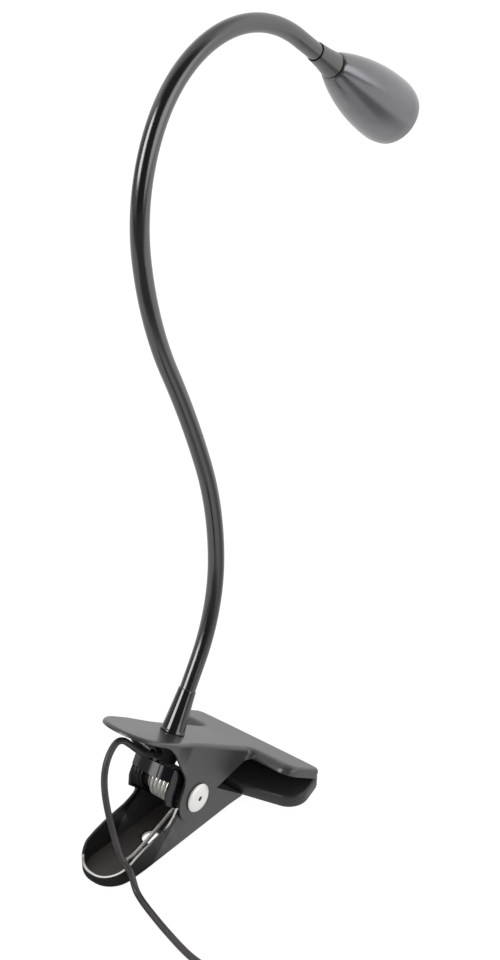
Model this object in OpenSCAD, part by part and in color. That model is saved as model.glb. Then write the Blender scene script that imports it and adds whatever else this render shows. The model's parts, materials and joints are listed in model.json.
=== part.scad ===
// Clip-on reading lamp: a wide-jawed spring clamp of two pressed steel shells, a sleeved
// gooseneck screwed to the upper shell, a small bullet head with one LED, and a thin
// low-voltage cord with an in-line switch and a plug-in driver.
// Origin: on the surface the clamp stands on, straight below the pivot. +X points to the
// jaws, +Y to the left, +Z up. All sizes are in millimetres and degrees.

/* [Clamp] */
// Angle between the two shells with the jaws closed
clamp_tilt = 32; // [30:0.5:33]
// Height of the pivot above the standing surface
pivot_z = 22.5; // [21.5:0.5:24]
// Distance from the pivot to the top face of the upper shell
pivot_to_top = 26.7; // [26:0.1:28]
// Thickness of the steel sheet of both shells
sheet = 1.2; // [1:0.1:1.5]
// Outside width of the lower shell between its wings and along its handle
lower_w = 27.6; // [26:0.2:29]
// Gap between a lower ear and the upper ear outside it
ear_gap = 0.3; // [0.2:0.05:0.5]
// Radius of the round lobe of each ear about the pivot
ear_lobe_r = 12.6; // [11.5:0.1:13]
// Reach of the lower handle behind the pivot
lower_handle = 58; // [54:1:64]
// Height of the turned-up rim at the end of the lower handle
lower_rim_h = 6.5; // [5:0.5:8]
// Diameter of the wall-screw hole in the lower handle
wall_hole_d = 9; // [6:0.5:10]
// Distance of the wall-screw hole behind the pivot
wall_hole_x = 17.5; // [15:0.5:22]
// Reach of the upper handle behind the neck
upper_handle = 43; // [40:1:50]
// Width of the upper handle
upper_handle_w = 36; // [34:1:42]
// Depth of the turned-down rim of the upper handle
upper_rim = 2; // [1.5:0.5:3]

/* [Jaws] */
// Width of the upper jaw across its wings, at the back
upper_jaw_w = 82; // [70:1:86]
// Extra width of the upper jaw at its front edge
upper_jaw_flare = 3; // [0:0.5:5]
// Distance from the neck to the back edge of the upper jaw's wings
upper_jaw_back = 50; // [48:0.5:54]
// Distance from the neck to the tip of the upper jaw
upper_jaw_tip = 80; // [76:0.5:80.5]
// Depth of the turned-down lip round the upper jaw
jaw_lip = 5; // [3.5:0.25:5]
// Distance from the pivot to the back edge of the lower jaw
lower_jaw_back = 38; // [36:0.5:42]
// Distance from the pivot to the tip of the lower jaw
lower_jaw_tip = 72; // [68:0.5:76]
// Corner radius at the back of the upper jaw
jaw_corner_r = 8; // [5:0.5:10]
// Corner radius at the front of the upper jaw
jaw_front_r = 5; // [4:0.5:8]
// Corner radius of the lower jaw
pad_corner_r = 11; // [8:0.5:12]
// Height of the lower rubber pad
lower_pad_h = 7.1; // [5:0.1:7.2]
// Thickness of the rubber where it wraps the edge of the lower jaw
pad_wall = 1.6; // [1.2:0.1:2]
// Depth of the upper rubber pad below the top face of the upper jaw
upper_pad_depth = 5.6; // [5.1:0.1:5.8]
// Thickness of the plastic liner in the lower handle
liner_t = 0.8; // [0.6:0.1:1]

/* [Pivot and spring] */
// Diameter of the hollow rivet's shank
rivet_d = 5; // [4:0.1:5.5]
// Diameter of the hole through the rivet
rivet_bore_d = 2.4; // [1.6:0.1:2.8]
// Diameter of the rivet's wide ends
rivet_head_d = 14.6; // [12:0.2:16]
// Thickness of the rivet's wide ends
rivet_head_t = 1.6; // [0.8:0.1:2]
// Diameter of the washers under the rivet's ends
pivot_washer_d = 13.6; // [12:0.2:16]
// Thickness of the washers
pivot_washer_t = 0.6; // [0.4:0.1:1]
// Outside diameter of the spacer sleeve on the rivet
pivot_sleeve_d = 13.2; // [12:0.2:13.6]
// Diameter of the spring wire
spring_wire_d = 2; // [1.6:0.1:2]
// Mean diameter of the spring's coil
spring_coil_d = 16; // [15.9:0.1:17]
// Number of whole turns in the spring
spring_turns = 6; // [4:1:6]
// Reach of the spring's lower leg behind the pivot
spring_lower_leg = 38; // [34:1:42]
// Reach of the spring's upper leg behind the pivot, along the upper plate
spring_upper_leg = 46; // [42:1:50]
// Thickness of the spring cover
cover_t = 1.2; // [1:0.1:1.4]
// Height of the spring cover's wall
cover_h = 6.5; // [5.5:0.5:10]

/* [Neck] */
// Outside diameter of the neck's sleeve
neck_d = 8; // [7.6:0.1:8.6]
// Outside diameter of the wound steel core
core_d = 5.8; // [5.4:0.1:6]
// Bore through the core
core_bore_d = 3.6; // [3.4:0.1:3.8]
// Diameter of the lead inside the neck
neck_lead_d = 3; // [2.6:0.1:3]
// Length of the straight stretch above the upper shell
neck_root = 36; // [34:1:44]
// Length of each curved stretch between two bending places
neck_link = 53; // [48:1:58]
// Length of the straight stretch below the head
neck_end = 29; // [26:1:34]
// Gap in the sleeve at each bending place
bend_gap = 2.1; // [2:0.1:2.6]

/* [Neck base] */
// Diameter of the ferrule on the upper shell
ferrule_d = 11.6; // [11:0.2:14]
// Diameter of the ferrule's top
ferrule_top_d = 9.6; // [9.4:0.2:10.6]
// Height of the ferrule
ferrule_h = 22; // [18:0.5:26]
// Diameter of the threaded stud
stud_d = 10; // [9:0.5:10]
// Width across the flats of the lock nut
nut_flats = 14; // [13:0.5:15]
// Thickness of the lock nut
nut_t = 4; // [3:0.5:4.5]

/* [Head] */
// Largest diameter of the head
head_d = 32.2; // [31:0.2:35]
// Length of the head shell
head_l = 57.5; // [54:0.5:62]
// Diameter of the head shell at the collar
head_neck_d = 12.4; // [12:0.2:13]
// Wall thickness of the head shell
head_wall = 1.5; // [1.2:0.1:1.8]
// Length of the collar on the neck's end
collar_l = 15; // [10:0.5:18]
// Diameter of the lens
lens_d = 26; // [22:0.5:26]

/* [Cord] */
// Diameter of the cord
cord_d = 3.2; // [2.8:0.1:3.4]
// Number of turns across the coil
coil_columns = 4; // [3:1:4]
// Number of layers of turns in the coil
coil_layers = 3; // [2:1:3]

/* [Switch and driver] */
// Length of the in-line switch
switch_l = 54; // [50:1:60]
// Width of the in-line switch
switch_w = 20; // [18:0.5:22]
// Height of the in-line switch
switch_h = 14; // [13:0.5:16]
// Length of the rocker
rocker_l = 16; // [14:0.5:18]
// Width of the rocker
rocker_w = 8; // [7:0.5:9]
// Length of the driver's housing
driver_l = 58; // [54:1:62]
// Width of the driver's housing
driver_w = 36; // [34:1:38]
// Height of the driver's housing
driver_h = 26; // [24:1:30]
// Wall thickness of the switch and the driver
case_wall = 1.8; // [1.4:0.1:2]
// Diameter of a plug pin
plug_pin_d = 4; // [3.8:0.1:4.2]
// Length of a plug pin
plug_pin_l = 19; // [17:0.5:20]
// Distance between the plug pins
plug_pitch = 18.6; // [17:0.2:19]

/* [Hidden] */
$fn = 64;
// Small working clearances, used wherever one piece fits in or on another.
run_fit = 0.05;
slip = 0.1;
seat = 0.3;
cut = 1;
// Depth by which straight edges start inside the round corners that they meet.
weld = 0.001;

// Clamp, derived.
lower_half = lower_w / 2;
ear_in = lower_half + ear_gap;
ear_out = ear_in + sheet;
base_z = pivot_z + pivot_to_top * cos(clamp_tilt) + pivot_to_top * sin(clamp_tilt) * tan(clamp_tilt);
pivot_s = pivot_to_top * tan(clamp_tilt);
rivet_half = ear_out + slip + pivot_washer_t + rivet_head_t;
inner_half = lower_half - sheet;
lower_end_r = 13;
lower_side_h = lower_rim_h + 3;
lower_rim_slope = (lower_side_h - lower_rim_h) / lower_end_r;
upper_end_r = upper_handle_w / 2 - slip;
pad_round = 1.4;

// Neck, derived. The turn of each curved stretch is positive towards +X.
TURNS = [-31, -20, -7, 20, 35, 44, 44];
LINKS = len(TURNS);
function sum_to(list, n) = n == 0 ? 0 : list[n - 1] + sum_to(list, n - 1);
function link_heading(i) = clamp_tilt + sum_to(TURNS, i);
function chord(i) = neck_link * sin(TURNS[i] / 2) / (TURNS[i] / 2 * PI / 180);
function chord_vec(i) =
    let (a = link_heading(i) + TURNS[i] / 2) chord(i) * [sin(a), 0, cos(a)];
function link_start(i) = i == 0
    ? [0, 0, base_z] + neck_root * [sin(clamp_tilt), 0, cos(clamp_tilt)]
    : link_start(i - 1) + chord_vec(i - 1);
ball_r = core_d / 2;
cup_r = ball_r + slip;
core_step = 0.6;

// Neck base, derived: depths below the upper shell's top face.
nut_bottom = sheet + nut_t;
stud_bottom = nut_bottom + 2;
relief_bottom = stud_bottom + 6.5;
relief_reach = 8;

// Head, derived: distances along the head's axis from the collar's shoulder.
ring_l = 4;
lens_t = 2;
board_t = 1.6;
sink_l = 14;
reflector_l = 16;
widest = 50;
mouth_r = head_d / 2 - 0.9;
lens_bore_r = lens_d / 2 + 0.7;
spigot_d = head_neck_d - 2.4;
spigot_l = 5;
// The upper shell's ears start this far behind the neck.
ear_back = 20;
lower_pad_back = lower_jaw_back - 2;
// Both jaws come out equally wide at the tip.
lower_jaw_w = upper_jaw_w + upper_jaw_flare;

// Cord route, from under the upper handle, over the lower handle's edge and along the
// surface to the coil. Round numbers chosen by hand.
CORD_ROUTE = [
    [-13.8, 0, 48.6], [-17, 0, 50.7], [-21, 0, 54], [-25, 0, 58.4], [-29, 0, 63.4],
    [-33, 0, 67.6], [-37, -0.1, 68.9], [-41, -0.4, 66.9], [-44.4, -0.8, 63],
    [-46.7, -1.3, 58], [-47.9, -1.9, 52.2], [-48.3, -2.6, 46], [-48.2, -3.4, 39.6],
    [-47.9, -4.4, 33.2], [-47.8, -5.8, 27], [-47.9, -7.6, 21.4], [-48, -9.6, 16.6],
    [-47.9, -11.8, 13], [-47.8, -14.4, 11.2], [-48.1, -16.9, 8.6], [-48.6, -18.7, 5.2],
    [-49.6, -21.2, 2.6], [-51, -25, 1.6], [-53.2, -31, 1.6], [-55.4, -38, 1.6],
    [-57.6, -45.4, 1.6], [-59.6, -53, 1.6], [-61.4, -60.4, 1.6], [-62.6, -67.6, 1.6],
    [-62.9, -75.6, 1.6], [-62.3, -84, 1.6], [-61.2, -92, 1.6], [-60.6, -100, 1.6]];
LEAD_END = 22;
CORD_OUT = [
    [-84, -123.4, 1.6], [-90, -123.6, 1.6], [-96.6, -123.6, 1.6], [-103, -122.4, 1.9],
    [-109.4, -119.4, 2.8], [-114.4, -114.6, 4.2], [-117.2, -108.4, 5.6],
    [-118, -102, 6.6], [-118, -96, 7]];
CORD_TAIL = [
    [-118, -42, 7], [-118, -37.8, 6.7], [-118, -34, 5.6], [-119.2, -28, 4],
    [-122.6, -22.9, 2.5], [-127.7, -19.5, 1.7], [-133.8, -18.3, 1.6],
    [-139.8, -19.5, 1.6], [-144.9, -22.9, 1.6], [-148.3, -28, 1.7], [-149.5, -34, 2.4],
    [-149.5, -39.5, 4], [-149.5, -45, 6.2], [-149.5, -50.5, 8.2], [-149.5, -56, 9]];
coil_centre = [-84, -100, 0];
coil_mean_r = 18.6;
coil_half_w = coil_columns * cord_d / 2;
coil_h = coil_layers * cord_d;
switch_centre = [-118, -69, 0];
driver_centre = [-149.5, -85, 0];
driver_turn = -90;
gland_l = 10;
// Plug pin inside the case: a thinner shank that lifts the pin clear of the cover.
pin_shank_d = plug_pin_d - 0.8;
pin_lift = 2 * slip;
pin_root = 3;
pin_head_t = 1.2;

// ---- Shared shapes ----

// Direction from the centre of a round corner to the straight side that joins it to the
// next one, both given as [x, y, radius], on the right-hand side of the way from a to b.
function side_normal(a, b) =
    let (d = [b.x - a.x, b.y - a.y], t = atan2(d.y, d.x) - acos((a.z - b.z) / norm(d)))
    [cos(t), sin(t)];

// Convex plate with round corners, given anticlockwise as [x, y, radius], less an inset.
module round_plate(corners, inset = 0) {
    n = len(corners);
    c = [for (k = corners) [k.x, k.y, k.z - inset]];
    polygon([for (i = [0 : n - 1]) let (before = side_normal(c[(i + n - 1) % n], c[i]),
        after = side_normal(c[i], c[(i + 1) % n]), at = [c[i].x, c[i].y])
        each [at + (c[i].z - weld) * before, at + (c[i].z - weld) * after]]);
    for (k = c) translate([k.x, k.y]) circle(k.z);
}

// Rectangle from x0 to x1, w wide, with round corners, exact arcs.
module round_rect(x0, x1, w, r) {
    translate([x0 + r, -w / 2]) square([x1 - x0 - 2 * r, w]);
    translate([x0, -w / 2 + r]) square([x1 - x0, w - 2 * r]);
    for (x = [x0 + r, x1 - r], y = [-w / 2 + r, w / 2 - r]) translate([x, y]) circle(r);
}

// Strip from x0 to x1 with a half-round-cornered end at x0 and a square end at x1.
module tongue(x0, x1, w, r) {
    translate([x0 + r, -w / 2]) square([x1 - x0 - r, w]);
    translate([x0, -w / 2 + r]) square([r + cut / 10, w - 2 * r]);
    for (y = [-w / 2 + r, w / 2 - r]) translate([x0 + r, y]) circle(r);
}

// Plate standing in the X-Z plane, its children drawn in (x, z), from y0 to y1.
module standing(y0, y1) {
    translate([0, y1, 0]) rotate([90, 0, 0]) linear_extrude(y1 - y0) children();
}

// Cylinder along Y about the pivot, from y0 to y1.
module across(y0, y1, r) {
    translate([0, y1, 0]) rotate([90, 0, 0]) cylinder(h = y1 - y0, r = r);
}

// The upper shell's own frame: origin on its top face at the neck, x towards the jaw.
module upper_frame() {
    translate([0, 0, base_z]) rotate([0, clamp_tilt, 0]) children();
}

// The frame at bending place i of the neck: z along the neck, x in its bending plane.
module link_frame(i) {
    translate(link_start(i)) rotate([0, link_heading(i), 0]) children();
}

// The head's frame: origin at the end of the neck, z along the head towards the light.
module head_frame() {
    link_frame(LINKS) translate([0, 0, neck_end]) children();
}

function unit(v) = v / norm(v);
function tangent(p, i) = unit(p[min(i + 1, len(p) - 1)] - p[max(i - 1, 0)]);
function side_of(p, i, last) =
    let (t = tangent(p, i)) unit(last - (last * t) * t);
function sides(p, i, last) = i >= len(p) ? [] :
    let (s = side_of(p, i, last)) concat([s], sides(p, i + 1, s));
function any_side(t) = abs(t.z) < 0.9 ? cross(t, [0, 0, 1]) : cross(t, [1, 0, 0]);

// Tube of radius r swept along the points p, or along its stretch from point i0 to i1.
module swept(p, r, i0 = 0, i1 = -1, n = 8) {
    s = sides(p, 0, unit(any_side(tangent(p, 0))));
    end = i1 < 0 ? len(p) - 1 : i1;
    rings = [for (i = [i0 : end]) let (t = tangent(p, i), u = s[i], v = cross(t, u))
        for (k = [0 : n - 1]) p[i] + r * (cos(360 * k / n) * u + sin(360 * k / n) * v)];
    last = (end - i0) * n;
    walls = [for (i = [0 : end - i0 - 1], k = [0 : n - 1]) let (a = i * n + k,
        b = i * n + (k + 1) % n) each [[a, a + n, b], [b, a + n, b + n]]];
    first_cap = [for (k = [0 : n - 1]) k];
    last_cap = [for (k = [n - 1 : -1 : 0]) last + k];
    polyhedron(rings, concat(walls, [first_cap, last_cap]));
}

// ---- Clamp ----

// Corners of the lower jaw: its back edges sweep forward towards the wings' ends.
module lower_jaw_plan(inset = 0) {
    x0 = lower_pad_back;
    x1 = lower_jaw_back + 3.5;
    y1 = lower_jaw_w / 2 - pad_corner_r;
    x2 = lower_jaw_tip - pad_corner_r + 1;
    round_plate([[x0 + 2, -lower_half + 2, 2], [x1 + pad_corner_r, -y1, pad_corner_r],
        [x2, -y1 + 1, pad_corner_r - 1], [x2, y1 - 1, pad_corner_r - 1],
        [x1 + pad_corner_r, y1, pad_corner_r], [x0 + 2, lower_half - 2, 2]], inset);
}

module lower_handle_plan(inset = 0) {
    tongue(-lower_handle + inset, lower_jaw_back + pad_wall + cut, lower_w - 2 * inset,
        lower_end_r - inset);
}

module lower_plan(inset = 0) {
    lower_handle_plan(inset);
    lower_jaw_plan(pad_wall + inset);
}

// Side wall of the lower shell in (x, z) from the pivot: low rim, ear and front slope.
module lower_side() {
    difference() {
        union() {
            polygon([[-lower_handle + lower_end_r, 0], [-lower_handle + lower_end_r, lower_side_h],
                [-37, lower_side_h + 2.4], [-28, lower_side_h + 5], [-20, lower_side_h + 7],
                [-15, lower_side_h + 9.5], [-ear_lobe_r + 1, pivot_z], [ear_lobe_r - 2.5, pivot_z],
                [lower_pad_back, sheet], [lower_pad_back, 0]]);
            translate([0, pivot_z]) circle(ear_lobe_r - 1);
        }
        translate([0, pivot_z]) circle(rivet_d / 2 + run_fit);
    }
}

module lower_shell() {
    color("dimgray") {
        difference() {
            linear_extrude(sheet) lower_plan();
            translate([-wall_hole_x, 0, -cut]) cylinder(h = sheet + 2 * cut, d = wall_hole_d);
        }
        intersection() {
            linear_extrude(lower_side_h + cut) difference() {
                lower_handle_plan();
                lower_handle_plan(sheet);
            }
            standing(-lower_w, lower_w) polygon([[-lower_handle - cut, 0],
                [-lower_handle - cut, lower_rim_h - lower_rim_slope * cut],
                [-lower_handle + lower_end_r, lower_side_h], [-lower_handle + lower_end_r, 0]]);
        }
        standing(inner_half, lower_half) lower_side();
        standing(-lower_half, -inner_half) lower_side();
    }
}

module handle_liner() {
    color("black") translate([0, 0, sheet]) difference() {
        linear_extrude(liner_t)
            tongue(-lower_handle + sheet + slip, lower_pad_back - slip,
                2 * (inner_half - slip), lower_end_r - sheet - slip);
        translate([-wall_hole_x, 0, -cut]) cylinder(h = liner_t + 2 * cut, d = wall_hole_d + 2);
    }
}

module lower_jaw_pad() {
    color("black") difference() {
        hull() {
            linear_extrude(lower_pad_h - pad_round) lower_jaw_plan(pad_round / 2);
            translate([0, 0, pad_round]) linear_extrude(lower_pad_h - 2 * pad_round) lower_jaw_plan();
            linear_extrude(lower_pad_h) lower_jaw_plan(pad_round);
        }
        translate([0, 0, -cut]) linear_extrude(sheet + cut) {
            lower_handle_plan(-run_fit);
            lower_jaw_plan(pad_wall - run_fit);
        }
    }
}

module upper_jaw_plan(inset = 0) {
    y0 = upper_jaw_w / 2 - jaw_corner_r;
    y1 = (upper_jaw_w + upper_jaw_flare) / 2 - jaw_front_r;
    x0 = upper_jaw_back + jaw_corner_r;
    x1 = upper_jaw_tip - jaw_front_r;
    round_plate([[x0, -y0, jaw_corner_r], [x1 - 1, -y1, jaw_front_r], [x1, -y1 / 2, jaw_front_r],
        [x1, y1 / 2, jaw_front_r], [x1 - 1, y1, jaw_front_r], [x0, y0, jaw_corner_r]], inset);
}

module upper_handle_plan(inset = 0) {
    tongue(-upper_handle + inset, -5 + inset, upper_handle_w - 2 * inset, upper_end_r - inset);
}

module upper_plan() {
    upper_handle_plan();
    translate([-ear_back, -ear_out]) square([ear_back + upper_jaw_back + 2, 2 * ear_out]);
    upper_jaw_plan();
}

// Ear of the upper shell in (x, z) of the upper frame.
module upper_side() {
    difference() {
        union() {
            polygon([[-ear_back, -sheet / 2], [-ear_back, -upper_rim - 2], [-9, -10], [2.5, -17.5],
                [pivot_s - ear_lobe_r + 1, -pivot_to_top],
                [pivot_s + ear_lobe_r - 2, -pivot_to_top], [pivot_s + ear_lobe_r, -pivot_to_top + 3.5],
                [upper_jaw_back + sheet / 2, -jaw_lip], [upper_jaw_back + sheet / 2, -sheet / 2]]);
            translate([pivot_s, -pivot_to_top]) circle(ear_lobe_r);
        }
        translate([pivot_s, -pivot_to_top]) circle(rivet_d / 2 + run_fit);
    }
}

module upper_shell() {
    color("gray") upper_frame() {
        difference() {
            translate([0, 0, -sheet]) linear_extrude(sheet) upper_plan();
            translate([0, 0, -sheet - cut]) cylinder(h = sheet + 2 * cut, d = stud_d + 2 * slip);
        }
        intersection() {
            translate([0, 0, -upper_rim]) linear_extrude(upper_rim) difference() {
                upper_handle_plan();
                upper_handle_plan(sheet);
            }
            translate([-upper_handle - cut, -upper_handle_w, -upper_rim])
                cube([upper_handle - 5 + cut, 2 * upper_handle_w, upper_rim]);
        }
        translate([0, 0, -jaw_lip]) linear_extrude(jaw_lip) difference() {
            upper_jaw_plan();
            upper_jaw_plan(sheet);
            translate([upper_jaw_back - cut, -ear_in]) square([sheet + 2 * cut, 2 * ear_in]);
        }
        standing(ear_in, ear_out) upper_side();
        standing(-ear_out, -ear_in) upper_side();
    }
}

module upper_jaw_pad() {
    color("black") upper_frame() translate([0, 0, -upper_pad_depth])
        linear_extrude(upper_pad_depth - sheet) upper_jaw_plan(sheet + slip);
}

module pivot_rivet() {
    color("silver") translate([0, 0, pivot_z]) difference() {
        union() {
            across(-rivet_half, rivet_half, rivet_d / 2);
            across(-rivet_half, -rivet_half + rivet_head_t, rivet_head_d / 2);
            across(rivet_half - rivet_head_t, rivet_half, rivet_head_d / 2);
        }
        across(-rivet_half - cut, rivet_half + cut, rivet_bore_d / 2);
    }
}

module pivot_washers() {
    color("white") translate([0, 0, pivot_z]) for (side = [-1, 1])
        difference() {
            across(side * (ear_out + slip + pivot_washer_t / 2) - pivot_washer_t / 2,
                side * (ear_out + slip + pivot_washer_t / 2) + pivot_washer_t / 2,
                pivot_washer_d / 2);
            across(side * ear_out - 3 * cut, side * ear_out + 3 * cut, rivet_d / 2 + run_fit);
        }
}

module pivot_sleeve() {
    half = inner_half - slip;
    color("gainsboro") translate([0, 0, pivot_z]) difference() {
        across(-half, half, pivot_sleeve_d / 2);
        across(-half - cut, half + cut, rivet_d / 2 + run_fit);
    }
}

// The spring's wire: a leg along the lower floor, the coil round the sleeve, and a leg
// under the upper handle.
spring_pitch = spring_wire_d + 0.15;
spring_y0 = -3.7;
spring_r = spring_coil_d / 2;
spring_steps = 16;
lower_leg_end = [-spring_lower_leg, spring_y0, sheet + liner_t + spring_wire_d / 2 + slip];
function coil_point(a, y) = [spring_r * cos(a), y, pivot_z + spring_r * sin(a)];
// Angles round the coil at which the lower leg and the upper leg leave it.
lower_leg_a = 290;
upper_leg_start_a = 68.5 - clamp_tilt;
spring_sweep = 360 * spring_turns + (upper_leg_start_a + 360 - lower_leg_a);
spring_count = ceil(spring_sweep / 360 * spring_steps);
spring_y1 = spring_y0 + spring_pitch * spring_sweep / 360;
upper_leg_d = -sheet - spring_wire_d / 2 - slip;
upper_leg_tip = [pivot_s - spring_upper_leg, spring_y1, upper_leg_d];
function from_upper(p) = [p.x * cos(clamp_tilt) + p.z * sin(clamp_tilt), p.y,
    base_z - p.x * sin(clamp_tilt) + p.z * cos(clamp_tilt)];
spring_path = concat(
    [lower_leg_end, [6 - spring_lower_leg, spring_y0, lower_leg_end.z + 0.2],
     [18 - spring_lower_leg, spring_y0, 7], [-spring_r, spring_y0, 11.3]],
    [for (i = [0 : spring_count]) let (a = lower_leg_a + spring_sweep * i / spring_count)
        coil_point(a, spring_y0 + spring_pitch * spring_sweep * i / spring_count / 360)],
    [from_upper([pivot_s - 12, spring_y1, -13.8]), from_upper([upper_leg_tip.x + 20, spring_y1, -8.4]),
     from_upper([upper_leg_tip.x + 8, spring_y1, upper_leg_d - 0.5]), from_upper(upper_leg_tip)]);

module torsion_spring() {
    color("silver") swept(spring_path, spring_wire_d / 2);
}

// Plastic guard between the ears, over the back of the coil: a bowed wall on two cheeks
// that hang on the sleeve.
cover_half = inner_half - slip;
cover_top = -14.5;
cover_s = -5.5;
cover_lobe_r = 9.4;
module cover_cheek() {
    difference() {
        union() {
            polygon([[cover_s + 0.5, cover_top], [cover_s + 0.5, -pivot_to_top],
                [cover_s + 3, -pivot_to_top - 5.5], [pivot_s - 5, -pivot_to_top - 8],
                [pivot_s + 5, -pivot_to_top + 8], [cover_s + 8, cover_top]]);
            translate([pivot_s, -pivot_to_top]) circle(cover_lobe_r);
        }
        translate([pivot_s, -pivot_to_top]) circle(pivot_sleeve_d / 2 + slip);
    }
}

module spring_cover() {
    bow_r = 24;
    bow_x = cover_s + sqrt(bow_r * bow_r - cover_half * cover_half);
    color([0.08, 0.08, 0.1]) upper_frame() {
        intersection() {
            translate([bow_x, 0, cover_top - cover_h]) difference() {
                cylinder(h = cover_h, r = bow_r);
                translate([0, 0, -cut]) cylinder(h = cover_h + 2 * cut, r = bow_r - cover_t);
            }
            translate([cover_s - 10, -cover_half, cover_top - cover_h - cut])
                cube([10 + cover_t, 2 * cover_half, cover_h + 2 * cut]);
        }
        standing(cover_half - cover_t, cover_half) cover_cheek();
        standing(-cover_half, -cover_half + cover_t) cover_cheek();
    }
}

// ---- Neck base ----

module base_ferrule() {
    color([0.1, 0.1, 0.11]) upper_frame() difference() {
        union() {
            cylinder(h = 3, d = ferrule_d + 1);
            translate([0, 0, 3]) cylinder(h = ferrule_h - 4.5, d1 = ferrule_d, d2 = ferrule_top_d);
            translate([0, 0, ferrule_h - 1.5]) cylinder(h = 1.5, d = ferrule_top_d);
        }
        translate([0, 0, -cut]) cylinder(h = 5 + cut, d = stud_d + 2 * slip);
        cylinder(h = ferrule_h + cut, d = neck_d + 2 * slip);
    }
}

module threaded_stud() {
    color("silver") upper_frame() difference() {
        union() {
            translate([0, 0, -stud_bottom]) cylinder(h = stud_bottom + 4.8, d = stud_d);
        }
        translate([0, 0, 1.8]) cylinder(h = 5, d = neck_d + 2 * slip);
        translate([0, 0, -stud_bottom - cut]) cylinder(h = stud_bottom + 8, d = core_d);
    }
}

module lock_nut() {
    color("silver") upper_frame() translate([0, 0, -nut_bottom]) difference() {
        cylinder(h = nut_t, d = nut_flats / cos(30), $fn = 6);
        translate([0, 0, -cut]) cylinder(h = nut_t + 2 * cut, d = stud_d + 2 * run_fit);
    }
}

// Rubber elbow on the stud's lower end: the cord leaves it towards the handle.
module strain_relief() {
    color("black") upper_frame() difference() {
        union() {
            translate([0, 0, -relief_bottom])
                cylinder(h = relief_bottom - nut_bottom - slip, d = stud_d + 3);
            translate([-relief_reach - 2, 0, -relief_bottom + cord_d / 2 + 1.4])
                rotate([0, 90, 0]) cylinder(h = relief_reach, d1 = cord_d + 1.6, d2 = cord_d + 2.8);
        }
        translate([0, 0, -stud_bottom - slip]) cylinder(h = stud_bottom, d = stud_d + 2 * slip);
        translate([0, 0, -relief_bottom + 1.4]) cylinder(h = stud_bottom, d = neck_lead_d + 2 * slip);
        translate([-relief_reach - 3, 0, -relief_bottom + cord_d / 2 + 1.4])
            rotate([0, 90, 0]) cylinder(h = relief_reach + 3, d = cord_d + 2 * slip);
    }
}

// ---- Neck ----

// Bent tube of one neck link between two fractions of its turn, trimmed by mm at each end.
module bent_tube(turn, trim0, trim1, d_out, d_in) {
    r = neck_link / (abs(turn) * PI / 180);
    a0 = trim0 / r * 180 / PI;
    a1 = abs(turn) - trim1 / r * 180 / PI;
    mirror([turn < 0 ? 1 : 0, 0, 0]) translate([r, 0, 0]) rotate([90, 0, 0])
        rotate([0, 0, 180 - a1]) rotate_extrude(angle = a1 - a0, $fn = 96)
            translate([r, 0]) difference() {
                circle(d = d_out, $fn = 48);
                if (d_in > 0) circle(d = d_in, $fn = 48);
            }
}

// Places its children at the far end of a bent tube that starts at the origin along z.
module at_far_end(turn) {
    r = neck_link / (abs(turn) * PI / 180);
    mirror([turn < 0 ? 1 : 0, 0, 0]) translate([r * (1 - cos(turn)), 0, r * sin(abs(turn))])
        children();
}

// Straight tube along z.
module straight_tube(z0, z1, d_out, d_in) {
    translate([0, 0, z0]) difference() {
        cylinder(h = z1 - z0, d = d_out);
        if (d_in > 0) translate([0, 0, -cut]) cylinder(h = z1 - z0 + 2 * cut, d = d_in);
    }
}

module neck_sleeve(i) {
    color([0.12, 0.12, 0.13]) {
        if (i == 0) {
            upper_frame() straight_tube(2, neck_root - bend_gap / 2, neck_d, core_d + 2 * slip);
        } else {
            link_frame(i - 1) bent_tube(TURNS[i - 1], bend_gap / 2,
                i < LINKS ? bend_gap / 2 : 0, neck_d, core_d + 2 * slip);
            if (i == LINKS) link_frame(LINKS)
                straight_tube(0, neck_end - 1, neck_d + run_fit, core_d + 3 * slip);
        }
    }
}

// Wound core: every link but the last ends in a ball about the next bending place, and
// every link but the first starts with a cup round that ball.
module neck_core(i) {
    color("lightgray") {
        if (i == 0) upper_frame() difference() {
            union() {
                translate([0, 0, 2]) cylinder(h = neck_root - 2, d = core_d - core_step);
                translate([0, 0, neck_root]) sphere(ball_r);
            }
            cylinder(h = neck_root + 2 * ball_r, d = core_bore_d);
        }
        if (i > 0 && i < LINKS) link_frame(i - 1) difference() {
            union() {
                bent_tube(TURNS[i - 1], 0, 0, core_d - core_step, 0);
                at_far_end(TURNS[i - 1]) sphere(ball_r);
            }
            bent_tube(TURNS[i - 1], -cut, -2 * ball_r, core_bore_d, 0);
            sphere(cup_r);
        }
        if (i == LINKS) {
            link_frame(i - 1) difference() {
                bent_tube(TURNS[i - 1], 0, 0, core_d - core_step, core_bore_d);
                sphere(cup_r);
            }
            link_frame(LINKS)
                straight_tube(0, neck_end - 1, core_d - core_step + slip, core_bore_d + slip);
        }
    }
}

module neck_lead(i) {
    lead_start = ball_r + 2 * slip;
    color("firebrick") {
        if (i == 0) {
            upper_frame() straight_tube(-stud_bottom - 1, neck_root, neck_lead_d, 0);
        } else {
            link_frame(i - 1) bent_tube(TURNS[i - 1], lead_start, 0, neck_lead_d, 0);
            if (i == LINKS) link_frame(LINKS)
                straight_tube(0, neck_end + 2, neck_lead_d + run_fit, 0);
        }
    }
}

// ---- Head ----

module head_collar() {
    color([0.15, 0.15, 0.16]) head_frame() difference() {
        union() {
            translate([0, 0, -collar_l])
                cylinder(h = collar_l, d1 = neck_d + 1, d2 = head_neck_d - 0.4);
            cylinder(h = spigot_l, d = spigot_d);
        }
        translate([0, 0, -collar_l - cut]) cylinder(h = collar_l + cut - 0.9, d = neck_d + 2 * slip);
        translate([0, 0, -cut]) cylinder(h = spigot_l + 2 * cut, d = neck_lead_d + 2 * slip);
    }
}

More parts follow.
